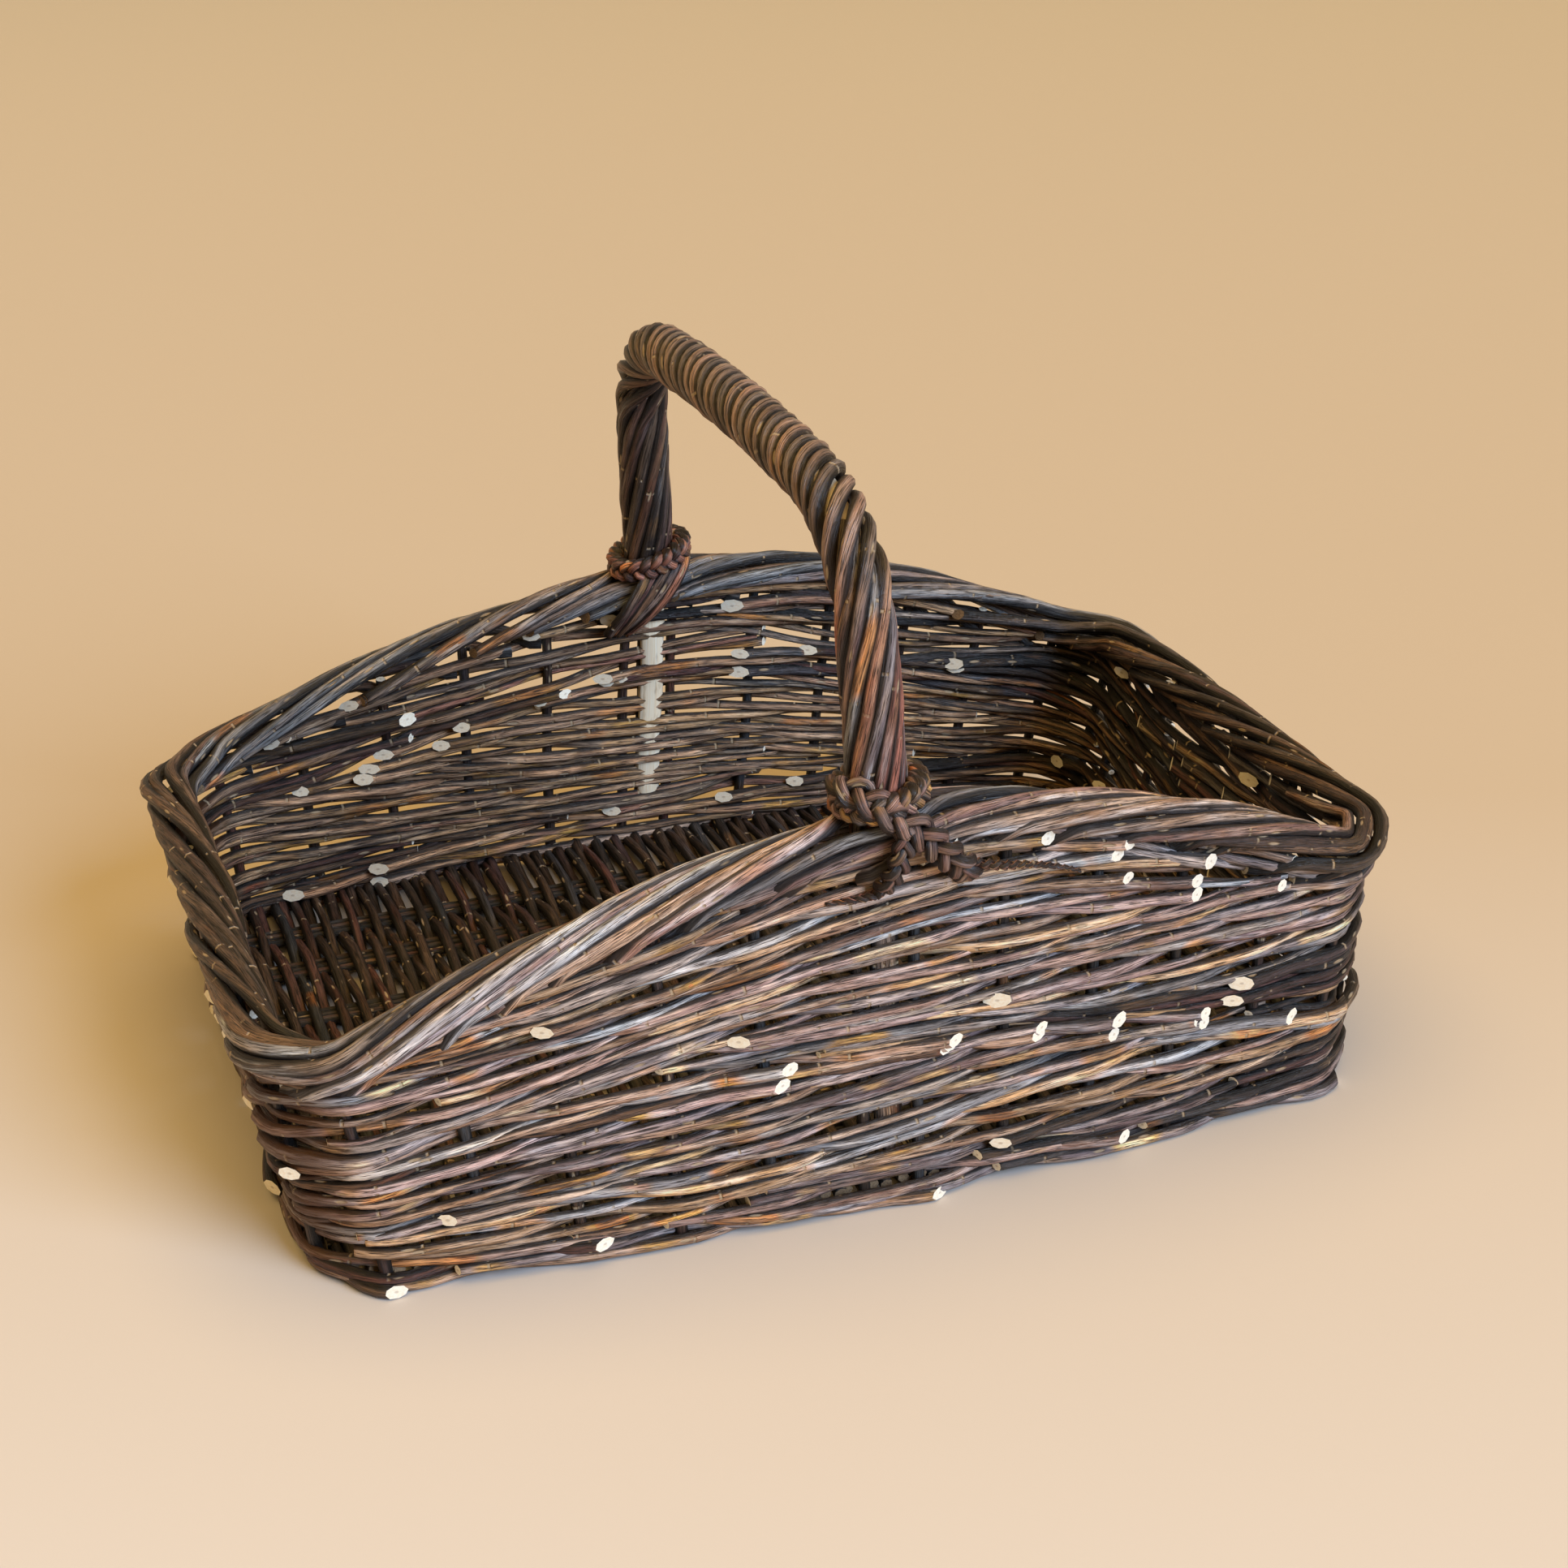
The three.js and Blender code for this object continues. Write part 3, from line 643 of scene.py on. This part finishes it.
def wall_point(index, z, w):
    """The point at height z and at w outside the walls' middle surface; index may be a fraction."""
    index = np.asarray(index, float)
    low = np.floor(index).astype(int)
    part = (index - low)[:, None]
    at = [
        line[low % STATIONS] * (1 - part) + line[(low + 1) % STATIONS] * part
        for line in (FOOT_LINE, RIM_LINE, OUTWARD)
    ]
    share = (np.asarray(z, float) / at[1][:, 2])[:, None]
    return at[0] + (at[1] - at[0]) * share + at[2] * np.asarray(w, float)[:, None]


def station_at(x, y):
    """The station nearest to a place half way up the wall."""
    return int(np.argmin((MID_LINE[:, 0] - x) ** 2 + (MID_LINE[:, 1] - y) ** 2))


def side_station(side, x):
    """The station of a long side whose stake has that x at the rim."""
    share = np.array([x / (RIM["length"] - CORNER_CUT)])
    foot, rim = side_line(side, share)
    return station_at(*((foot + rim)[0, :2] / 2))


def end_station(end, share):
    """The station at that share of a short side."""
    foot, rim = end_line(end, np.array([share]))
    return station_at(*((foot + rim)[0, :2] / 2))


def place_stakes():
    """The station of each stake."""
    stakes = {}
    for side in ("near", "far"):
        for number, x in enumerate([-x for x in reversed(STAKE_X)] + list(STAKE_X)):
            stakes[f"{side}_stake_{number + 1}"] = side_station(side, x)
    for end in ("left", "right"):
        for number in range(STAKES_PER_END):
            share = (2 * number + 1) / STAKES_PER_END - 1
            stakes[f"{end}_stake_{number + 1}"] = end_station(end, share)
    corners = [(side, end) for side in ("near", "far") for end in ("left", "right")]
    for number, (side, end) in enumerate(corners):
        x = -CORNER_STAKE_X if end == "left" else CORNER_STAKE_X
        stakes[f"corner_stake_{2 * number + 1}"] = side_station(side, x)
        stakes[f"corner_stake_{2 * number + 2}"] = end_station(end, -1 if side == "near" else 1)
    return stakes


STAKES = place_stakes()
BOWS = {side: side_station(side, 0.0) for side in ("near", "far")}


def wall_of(index):
    """The wall that a station belongs to. The cut corners belong to the short sides."""
    x, y = MID_LINE[int(index) % STATIONS, :2]
    if abs(y) > 135 and abs(x) < 236:
        return "near" if y < 0 else "far"
    return "left" if x < 0 else "right"


# The weave: rods laid one after another on what is woven already

# Uprights that a rod passes as one: the single stakes, and the bow between its two stakes
GROUPED = {STAKES[f"{side}_stake_{number}"] for side in BOWS for number in BESIDE_BOW}
UPRIGHTS = sorted(
    [(place, 0.0) for place in STAKES.values() if place not in GROUPED]
    + [(place, BOW_GROUP_HALF) for place in BOWS.values()]
)


def upright(k):
    """The station of upright k, counted round and round the trug, and half its width."""
    return UPRIGHTS[k % len(UPRIGHTS)]


# Where the weave opens: the height, over how much, then its spacing below and above
WALL_SPACING = {
    "near": (90.0, 50.0, 0.70, 0.84),
    "far": (56.0, 44.0, 0.72, 1.22),
    "left": (60.0, 20.0, 0.56, 0.60),
    "right": (45.0, 20.0, 0.48, 0.48),
}
OPEN_HALF_LENGTH = 100.0
OPEN_FADE = 60.0
# The share of rods that start outside
OUTSIDE_BUTTS = {"near": 0.9, "far": 0.12, "left": 0.6, "right": 0.25}
# On which side a rod passes one upright after another: 1 outside and -1 inside
STROKES = {"near": (1, 1, -1), "far": (-1, -1, 1), "left": (1, 1, -1), "right": (-1, -1, 1)}


class Weave:
    """The walls' rods, laid one after another on the height that is woven already."""

    def __init__(self):
        self.lid = blur_ring(RIM_LINE[:, 2] - BORDER_HALF_HEIGHT + 5, 3)
        self.top = np.full(STATIONS, WALL_FLOOR)
        self.rods = []
        self.wall = [wall_of(i) for i in range(STATIONS)]

    def progress(self):
        """The share of the walls' height that is woven at each station."""
        return blur_ring((self.top - WALL_FLOOR) / (self.lid - WALL_FLOOR), 6)

    def spacing(self, index):
        """How far rods keep apart, as a share of their thickness: open high up in the arches."""
        start, reach, close, loose = WALL_SPACING[self.wall[index[len(index) // 2]]]
        open_share = smooth((self.top[index] - start) / reach)
        past = np.abs(MID_LINE[index, 0]) - OPEN_HALF_LENGTH
        open_share *= 1 - smooth(past / OPEN_FADE)
        return close + (loose - close) * open_share

    def side(self, k, number):
        """Whether rod number passes upright k outside, 1, or inside, -1."""
        strokes = STROKES[self.wall[upright(k)[0]]]
        return strokes[(k + number) % len(strokes)]

    def full(self, k):
        """Whether the wall has reached the border at upright k."""
        place, _ = upright(k)
        return self.top[place] > self.lid[place]

    def knots(self, run, way, number):
        """How far along it a rod passes each upright of its run, and on which side."""
        knots, reached = [], 0.0
        here, _ = upright(run[0])
        for k in run:
            place, half = upright(k)
            side = self.side(k, number)
            reached += ((place - here) * way) % STATIONS * STATION_STEP
            here = place
            knots.append((reached - half, side))
            if half:
                knots.append((reached + half, side))
        return np.array(knots, float).T

    def lay(self, high, low, way, butt, tip):
        """Weaves a rod past the uprights from low up to high, with its butt at high if way is -1,
        and its radius from butt to tip."""
        number = len(self.rods)
        run = list(range(high, low - 1, -1)) if way < 0 else list(range(low, high + 1))
        outside = OUTSIDE_BUTTS[self.wall[upright(run[0])[0]]]
        first_side = 1 if RNG.uniform() < outside else -1
        # it starts at an upright that it passes on that side
        for _ in range(2):
            if self.side(run[0], number) != first_side:
                run = run[1:]
        places, sides = self.knots(run, way, number)
        before, after = RNG.uniform(3, 18), RNG.uniform(3, 16)
        begin, end = places[0] - before, places[-1] + after
        steps = np.arange(begin, end, STATION_STEP)
        index = (upright(run[0])[0] + way * np.round(steps / STATION_STEP).astype(int)) % STATIONS
        radius = butt + (tip - butt) * ((steps - begin) / (end - begin)) ** 0.9
        which = np.clip(np.searchsorted(places, steps) - 1, 0, len(places) - 2)
        crossing = RNG.uniform(0.38, 0.62, len(places))[which]
        share = (steps - places[which]) / np.maximum(places[which + 1] - places[which], 1e-6)
        share = smooth((share - crossing) / CROSSING_SHARE + 0.5)
        side_at = sides[which] + (sides[which + 1] - sides[which]) * share
        w = blur(side_at * (STAKE_RADIUS + radius) * TUCK, 3) + RNG.uniform(-0.8, 0.8)
        w += first_side * BUTT_REACH * smooth(1 - (steps - steps[0]) / BUTT_LENGTH)
        half_pitch = radius * self.spacing(index)
        # it rests on what is below, and bridges the hollows
        under = blur(self.top[index], 15)
        z = blur(np.maximum(under, self.top[index] - 1.6), 7) + half_pitch
        wander = RNG.uniform(0, 2 * math.pi, 2)
        z += 1.3 * np.sin(steps / 45 + wander[0]) + 0.25 * np.sin(steps / 15 + wander[1])
        z = np.clip(z, radius + 0.2, self.lid[index] + 1.5)
        self.top[index] = np.maximum(self.top[index], z + half_pitch - 0.3)
        self.rods.append((index, z, w, radius, first_side))

    def fill(self):
        """Goes round and round the walls, after a first round of stout rods. Each rod ends one
        upright before the last, so that all of them slope, and more are laid at an upright until
        its height is due."""
        count = len(UPRIGHTS)
        for high in range(0, 2 * count, 5):
            self.lay(high, high - 9, -1, 2.9, 2.3)
        rounds = 1.0 / ROUND_SHARE + 1.3
        for step in range(int(rounds * count)):
            high = -2 - step
            place, _ = upright(high)
            just_left = (place - np.arange(0, 12)) % STATIONS
            due = min(ROUND_SHARE * step / count, 0.98)
            for _ in range(MOST_AT_AN_UPRIGHT):
                if self.progress()[just_left].mean() >= due:
                    break
                low = high - RNG.randint(7, 13)
                while high - low > 2 and self.full(low):
                    low += 1
                reversed_rod = RNG.uniform() < REVERSED_SHARE
                raised = self.top[upright(low)[0]] > REVERSED_FROM
                butt = RNG.uniform(2.5, 3.6)
                tip = butt * RNG.uniform(0.5, 0.8)
                self.lay(high, low, 1 if reversed_rod and raised else -1, butt, tip)


WEAVE = Weave()
WEAVE.fill()


def make_walls():
    walls = {name: Bundle() for name in ("near", "far", "left", "right")}
    for index, z, w, radius, first_side in WEAVE.rods:
        # every ROD_STEP-th station is enough for its shape
        pick = np.unique(np.append(np.arange(0, len(index), ROD_STEP), len(index) - 1))
        path = wall_point(index[pick].astype(float), z[pick], w[pick])
        facing = OUTWARD[index[0]] * first_side * CUT_SLANT + np.array([0, 0, 0.3])
        end_facing = OUTWARD[index[-1]] * (1 if w[-1] > 0 else -1)
        normal = OUTWARD[index[pick]]
        middle = wall_of(index[len(index) // 2])
        slants = (facing, end_facing * RNG.uniform(0.2, 0.9))
        walls[middle].rod(path, radius[pick], normal, slants=slants)
    for name, bundle in walls.items():
        bundle.piece(f"{name}_wall_rods", [WALL_BARKS[name], CUT_CREAM], slot="bark_brown",
                     nodes=[f"{name}_wall_weave"])


def make_stakes():
    groups = {}
    for name, place in STAKES.items():
        groups.setdefault(name.rsplit("_", 1)[0], []).append((name, place))
    for group, members in groups.items():
        bundle = Bundle()
        for name, place in members:
            z = np.linspace(3.5, RIM_LINE[place, 2] - 2, 30)
            sway = 0.5 * np.sin(z / 19 + RNG.uniform(0, 6))
            path = wall_point(np.full(30, float(place)) + sway * 0.4, z, sway)
            radius = STAKE_RADIUS - 0.5 * z / z[-1]
            bundle.rod(path, radius, OUTWARD[place])
        # the stakes wear the dark base bark as painted shade: they stand in shadow among the rods
        bundle.piece(f"{group}s", [BASE_BARK, CUT_CREAM], slot="bark_dark",
                     nodes=[name for name, _ in members])


# Base

def make_base():
    weave = Bundle()
    rows = np.array(BASE_ROWS)
    for i in range(int((2 * -BASE_FIRST_X) / BASE_PITCH) + 1):
        x = BASE_FIRST_X + i * BASE_PITCH
        share = x / (FOOT["length"] - CORNER_CUT)
        reach = FOOT["width"] + FOOT["bow"] * (1 - min(1, share**2)) - 3
        reach -= max(0.0, abs(x) - (FOOT["length"] - CORNER_CUT)) * 0.9
        y = np.arange(-reach, reach, 5.0)
        # over one row of sticks and under the next
        knots = np.concatenate([[-reach - 30], rows, [reach + 30]])
        signs = np.array([(-1) ** (i + j) for j in range(len(knots))], float)
        which = np.clip(np.searchsorted(knots, y) - 1, 0, len(knots) - 2)
        part = smooth((y - knots[which]) / (knots[which + 1] - knots[which]))
        sign = signs[which] * (1 - part) + signs[which + 1] * part
        radius = RNG.uniform(2.9, 3.5)
        z = BASE_HEIGHT + sign * BASE_SWING + 0.3 * np.sin(y / 17 + RNG.uniform(0, 6))
        z = np.maximum(z, radius + 0.1)
        bend = RNG.uniform(-1.6, 1.6) * (y / 160) ** 2
        bend = bend + 0.7 * np.sin(y / RNG.uniform(24, 40) + RNG.uniform(0, 6))
        path = np.stack([x + bend, y, z], 1)
        taper = radius * (1 - 0.22 * np.linspace(0, 1, len(y))[:: (1 if i % 2 else -1)])
        weave.rod(path, taper, (0.1, 0, 1), sides=7)
    weave.piece("base_rods", [BASE_BARK, CUT_BROWN], slot="bark_dark", nodes=["base_weave"])
    sticks = Bundle()
    x = np.arange(-241, 241.5, 6.0)
    for j, row in enumerate(rows):
        for k in (-1, 0, 1):
            y = np.full_like(x, row + STICK_SPACING * k) + 0.5 * np.sin(x / 47 + 2 * j + k)
            z = STICK_HEIGHT + 0.25 * np.sin(x / 31 + j + k)
            path = np.stack([x, y, z], 1)
            sticks.rod(path, RNG.uniform(2.0, 2.4), (0, 0.1, 1), sides=7)
    sticks.piece("base_sticks", [BASE_BARK, CUT_CREAM], slot="bark_brown",
                 nodes=[f"base_stick_{n + 1}" for n in range(len(rows))])


# Border

def make_border():
    borders = {name: Bundle() for name in ("near", "far", "left", "right")}
    count = int(round(STATIONS / BORDER_SPACING))
    t = np.linspace(0, 1, 48)
    for k in range(count):
        # it runs along the rim and turns round the bundle
        begin = k * STATIONS / count + RNG.uniform(-4, 4)
        index = begin + t * RNG.uniform(96, 138)
        angle = np.radians(BORDER_START + BORDER_TURN * t + RNG.uniform(-14, 14))
        radius = RNG.uniform(2.9, 3.8) - 0.6 * t * RNG.uniform(0.4, 1.2)
        grow = 1 + RNG.uniform(-0.18, 0.16)
        # the rod comes up out of the wall as a stake and bends over
        leave = smooth(t / 0.10)
        w = np.cos(angle) * BORDER_REACH * grow * leave + 1.0 * (1 - leave)
        rise = np.sin(angle) * BORDER_RISE * grow * leave - 15 * (1 - leave)
        # it passes the bow on the side that it is on
        for bow in BOWS.values():
            away = ((index - bow + STATIONS / 2) % STATIONS - STATIONS / 2) * STATION_STEP
            if np.abs(away).min() < 30:
                hand = 1.0 if w[int(np.argmin(np.abs(away)))] > -1 else -1.0
                w = w + (hand * BORDER_PAST_BOW - w) * np.exp(-((away / 17) ** 2))
        ring = index.astype(int) % STATIONS
        slope = np.gradient(RIM_LINE[:, 2])[ring] / STATION_STEP
        part = index - np.floor(index)
        z = RIM_LINE[ring, 2] * (1 - part)
        z += RIM_LINE[(ring + 1) % STATIONS, 2] * part
        path = wall_point(index, z, w)
        # the bundle's upright axis leans with the slope of the rim
        path[:, 2] += rise * np.sqrt(1 + slope**2)
        path[:, :2] -= (unit(TRAVEL[ring]) * (rise * slope * 0.5)[:, None])[:, :2]
        up = OUTWARD[ring] * (w / BORDER_REACH)[:, None]
        up = up + np.array([0, 0, 1.0]) * (rise / BORDER_RISE)[:, None]
        middle = wall_of(index[len(index) // 2])
        tip = -0.7 * OUTWARD[ring[-1]] + np.array([0, 0, 0.4])
        borders[middle].rod(path, radius, up, sides=10, caps=(1, 2), slants=(None, tip))
    for name, bundle in borders.items():
        skin = BORDER_BARKS.get(name, SHADED_END_BORDER_BARK)
        bundle.piece(f"{name}_border_rods", [skin, CUT_CREAM, CUT_BROWN], slot="bark_dark",
                     nodes=[f"{name}_border"])


# Handle

def leg_top(side):
    """Where a leg's line meets the line of the top."""
    sign = -1 if side == "near" else 1
    return np.array([HANDLE_LEAN, sign * HANDLE_HALF_SPAN, HANDLE_TOP[side]])


def rim_middle(side):
    """The border's middle at the foot of a leg."""
    sign = -1 if side == "near" else 1
    height = float(arch_height(side, np.array(0.0)))
    return np.array([0.0, sign * (RIM["width"] + RIM["bow"]), height])


def shoulder(side):
    """The round between a leg and the top, from the leg on."""
    corner = leg_top(side)
    leg = unit(rim_middle(side) - corner)
    top = unit(leg_top("far" if side == "near" else "near") - corner)
    half = math.acos(float(leg @ top)) / 2
    reach = SHOULDER_RADIUS / math.tan(half)
    centre = corner + unit(leg + top) * SHOULDER_RADIUS / math.sin(half)
    t = np.linspace(0, 1, 22)[:, None]
    start, end = corner + leg * reach, corner + top * reach
    arc = (1 - t) ** 2 * start + 2 * t * (1 - t) * corner + t**2 * end
    return centre + unit(arc - centre) * SHOULDER_RADIUS


def handle_line():
    """The handle's middle line from the near foot to the far foot, cut evenly, and how far along
    it each point lies."""
    near, far = shoulder("near"), shoulder("far")[::-1]
    t = np.linspace(0, 1, 40)[1:-1, None]
    crown = near[-1] * (1 - t) + far[0] * t + np.array([0, 0, CROWN * 4]) * t * (1 - t)
    low = {side: rim_middle(side) + np.array([0, 0, -6.0]) for side in ("near", "far")}
    line = np.vstack([low["near"], near, crown, far, low["far"]])
    travel = travelled(line)
    places = np.linspace(0, travel[-1], int(travel[-1] / HANDLE_STEP))
    line = np.stack([np.interp(places, travel, line[:, k]) for k in range(3)], 1)
    for _ in range(6):
        line[1:-1] = (line[:-2] + 2 * line[1:-1] + line[2:]) / 4
    return line, places


def make_roping():
    line, places = handle_line()
    total = places[-1]
    along = unit(np.gradient(line, axis=0))
    left = np.array([-1.0, 0, 0])
    left = unit(left - along * (along @ left)[:, None])
    outer = np.cross(left, along)
    if outer[len(outer) // 2, 2] < 0:
        outer = -outer
    # the lay of the rods: near the axis on the legs and steep across the top
    from_foot = np.minimum(places, total - places)
    lay = np.radians(LEG_LAY + LAY_GAIN * smooth((from_foot - 78) / 95))
    spin = -np.cumsum(np.tan(lay) * np.gradient(places)) / ROPING_RADIUS
    bundle = Bundle()
    for n in range(ROPING_RODS):
        lift = ROPING_RADIUS - 3.15 + np.zeros_like(places)
        radius = np.full(len(places), ROPING_ROD_RADIUS) * RNG.uniform(0.96, 1.06)
        angle = spin + 2 * math.pi * n / ROPING_RODS
        parts = [np.ones(len(places), bool)]
        if n % 2:
            # every other rod dives under the rest at the shoulders and ends there
            cover = smooth((from_foot - 92) / 42)
            lift = lift - 4.6 * cover
            radius = radius * (1 - 0.45 * cover)
            keep = from_foot < 140
            parts = [keep & (places < total / 2), keep & (places > total / 2)]
        for part in parts:
            rise = lift[part] + 0.25 * np.sin(places[part] / 11 + n)
            swing = angle[part] + 0.05 * np.sin(places[part] / 19 + 2.2 * n)
            path = line[part] + outer[part] * (np.cos(swing) * rise)[:, None]
            path += left[part] * (np.sin(swing) * rise)[:, None]
            outside = outer[part] * np.cos(swing)[:, None] + left[part] * np.sin(swing)[:, None]
            bundle.rod(path, radius[part], outside, sides=9)
    bundle.piece("handle_roping_rods", [HANDLE_BARK, CUT_BROWN], slot="bark_brown",
                 nodes=["handle_roping"])


def make_bow():
    """The bent core inside the roping, and its shaved ends that run down inside both walls."""
    line, _ = handle_line()
    bundle = Bundle()
    bundle.rod(line, BOW_RADIUS, (1, 0, 0), sides=10)
    for place in BOWS.values():
        z = np.linspace(23, RIM_LINE[place, 2], 26)
        width = SHAVED_HALF_WIDTH * smooth((z - 14) / 26) + 0.3
        # shaved inside, with its bark left on outside
        for w, skin in ((-3.4, 0), (0.2, 2)):
            path = wall_point(np.full(26, float(place)), z, np.full(26, w))
            bundle.rod(path, width, (0, 1, 0), sides=10, squash=(1.0, 0.36), skin=skin)
    bundle.piece("handle_bow_rod", [PEELED, CUT_CREAM, HANDLE_BARK], slot="peeled_willow",
                 nodes=["handle_bow"])


# Ties

TIE_RADIUS = 2.6
# Lines over the border, as (along the wall, outside it, up) from the border's middle at the leg.
# Each plait has its reach to both sides, its strands' radius, its period and how much it narrows.
NEAR_PLAITS = [
    ([(-15, -6, 22), (-16, 4, 24), (-8, 15, 19), (8, 19, 8), (21, 19, -5), (31, 16, -15),
      (36, 9, -22)], 5.6, 2.9, 29.0, 0.12),
    ([(6, 12, 15), (3, 18.5, 8), (1, 20, -3), (-2, 18, -13), (-5, 12, -22)], 3.6, 2.2, 22.0, 0.1),
    ([(34, 15, -14), (48, 17, -17), (62, 15, -20), (78, 13, -25), (90, 10, -31)],
     2.0, 1.35, 13.0, 0.55),
    ([(-4, 13, -22), (-12, 12, -24), (-20, 10, -25), (-28, 8, -26)], 2.0, 1.35, 13.0, 0.55),
]
FAR_BAND = [(9, -2, 22), (6, -13.5, 17), (-4, -18.5, 5), (-15, -17, -9), (-22, -10, -20)]


def band_frame(points, step):
    """A line over the border, and the ways out of it and across it."""
    line = spline(points, step)
    along = unit(np.gradient(line, axis=0))
    outside = unit(line * [0, 1, 1] - [0, 0, 3])
    return line, outside, unit(np.cross(along, outside))


def plait(bundle, foot, mirror, points, reach, radius, period, narrowing):
    """Three strands plaited along a line of points, which mirror turns to the leg's own side."""
    line, outside, across = band_frame(points, 1.5)
    travel = travelled(line)
    slim = 1 - narrowing * travel / travel[-1]
    for strand in range(3):
        turn = 2 * math.pi * (travel / period + strand / 3)
        path = line + across * (reach * slim * np.sin(turn))[:, None]
        path += outside * (radius * 0.95 * slim * np.sin(2 * turn))[:, None]
        bundle.rod(foot + path * mirror, radius * slim, outside * mirror, sides=9)


def make_tie(side):
    mirror = np.array([1.0, -1.0 if side == "near" else 1.0, 1.0])
    foot = rim_middle(side)
    lean = unit(leg_top(side) - foot)
    bundle = Bundle()
    # a plaited collar round the leg
    turn = np.linspace(0, 2 * math.pi, 130)
    tilt = 5.5 if side == "far" else 3.0
    for strand in range(3):
        wave = turn * 7 + 2 * math.pi * strand / 3
        reach = 17.3 + 2.4 * np.sin(2 * wave)
        rise = 18.5 + tilt * np.cos(turn) + 3.6 * np.sin(wave)
        centre = lean[None, :] * rise[:, None] / lean[2]
        outside = np.stack([np.cos(turn), np.sin(turn), np.zeros_like(turn)], 1)
        bundle.rod(foot + centre + outside * reach[:, None], TIE_RADIUS, outside, sides=9)
    if side == "near":
        for points, reach, radius, period, narrowing in NEAR_PLAITS:
            plait(bundle, foot, mirror, points, reach, radius, period, narrowing)
    else:
        # five rods side by side, down the inside of the border
        line, outside, across = band_frame(FAR_BAND, 2.0)
        narrow = np.linspace(1.0, 0.72, len(line))
        for rod in range(5):
            wander = 0.5 * np.sin(np.arange(len(line)) / 5 + 2 * rod)
            path = line + across * ((rod - 2) * 4.5 * narrow + wander)[:, None]
            path += outside * (0.6 * (-1) ** rod)
            bundle.rod(foot + path * mirror, TIE_RADIUS, outside * mirror, sides=9)
    bundle.piece(f"{side}_handle_tie_rods", [TIE_BARK, CUT_BROWN], slot="bark_brown",
                 nodes=[f"{side}_handle_tie"])


make_walls()
make_stakes()
make_base()
make_border()
make_roping()
make_bow()
make_tie("near")
make_tie("far")


# Stage, light and camera

def make_floor():
    """A seamless sheet that runs away from the camera and turns up far behind, in metres."""
    reach, turn_from, bend, top = 12.0, 4.0, 1.5, 5.0
    profile = [(-reach, 0.0), (turn_from, 0.0)]
    for angle in np.linspace(0.1, math.pi / 2, 12):
        profile.append((turn_from + bend * math.sin(angle), bend - bend * math.cos(angle)))
    profile.append((turn_from + bend, top))
    points = [(x, y, z) for y, z in profile for x in (-reach, reach)]
    faces = [(2 * i, 2 * i + 1, 2 * i + 3, 2 * i + 2) for i in range(len(profile) - 1)]
    mesh = bpy.data.meshes.new("backdrop")
    mesh.from_pydata(points, [], faces)
    mesh.polygons.foreach_set("use_smooth", [True] * len(faces))
    m = Finish("backdrop_paper", 0.9, 0.1)
    place = m.node("ShaderNodeTexCoord").outputs["Object"]
    x, y, _ = m.split(place)
    # painted light falloff: brighter in front, along the ground from the camera's side
    ahead = m.maths("ADD", m.maths("MULTIPLY", x, 0.354), m.maths("MULTIPLY", y, 0.935))
    colour = m.ramp(m.window(ahead, -0.4, 2.8), [
        (0.0, (0.660, 0.612, 0.590)), (0.2, (0.540, 0.440, 0.335)), (1.0, (0.480, 0.390, 0.270)),
    ])
    m.put(m.shader.inputs["Base Color"], colour)
    m.bump(m.noise(place, scale=900.0, detail=2.0), 0.05, 0.0004)
    mesh.materials.append(m.material)
    obj = bpy.data.objects.new("backdrop", mesh)
    bpy.context.scene.collection.objects.link(obj)


def sun_light(name, place, spread, strength, colour):
    """An even light from the direction of place, as soft as a disc spread degrees wide."""
    data = bpy.data.lights.new(name, "SUN")
    data.angle = math.radians(spread)
    data.energy = strength
    data.color = colour
    obj = bpy.data.objects.new(name, data)
    obj.location = place
    obj.rotation_euler = (-Vector(place)).to_track_quat("-Z", "Y").to_euler()
    bpy.context.scene.collection.objects.link(obj)


def make_camera():
    cos_yaw, sin_yaw = math.cos(CAMERA_YAW), math.sin(CAMERA_YAW)
    cos_pitch, sin_pitch = math.cos(CAMERA_PITCH), math.sin(CAMERA_PITCH)
    ahead = Vector((sin_yaw * cos_pitch, cos_yaw * cos_pitch, -sin_pitch))
    level = Vector((cos_yaw, -sin_yaw, 0))
    up = level.cross(ahead)
    cos_roll, sin_roll = math.cos(CAMERA_ROLL), math.sin(CAMERA_ROLL)
    right = cos_roll * level + sin_roll * up
    top = -sin_roll * level + cos_roll * up
    data = bpy.data.cameras.new("camera")
    data.sensor_width = 36.0
    data.lens = FOCAL_PIXELS * data.sensor_width / PHOTO_WIDTH
    obj = bpy.data.objects.new("camera", data)
    turn = Matrix((right, top, -ahead)).transposed().to_4x4()
    obj.matrix_world = Matrix.Translation(CAMERA_PLACE) @ turn
    bpy.context.scene.collection.objects.link(obj)
    bpy.context.scene.camera = obj


make_floor()
world = bpy.data.worlds.new("studio")
world.use_nodes = True
world.node_tree.nodes["Background"].inputs["Color"].default_value = (1.0, 0.714, 0.30, 1.0)
world.node_tree.nodes["Background"].inputs["Strength"].default_value = 0.22
bpy.context.scene.world = world
sun_light("window", (1.0, -1.6, 1.15), 38.0, 4.0, (0.50, 0.66, 0.90))
sun_light("lamp", (-0.2, 0.0, 2.0), 70.0, 2.3, (1.0, 0.68, 0.25))
make_camera()
bpy.context.scene.view_settings.view_transform = "Standard"
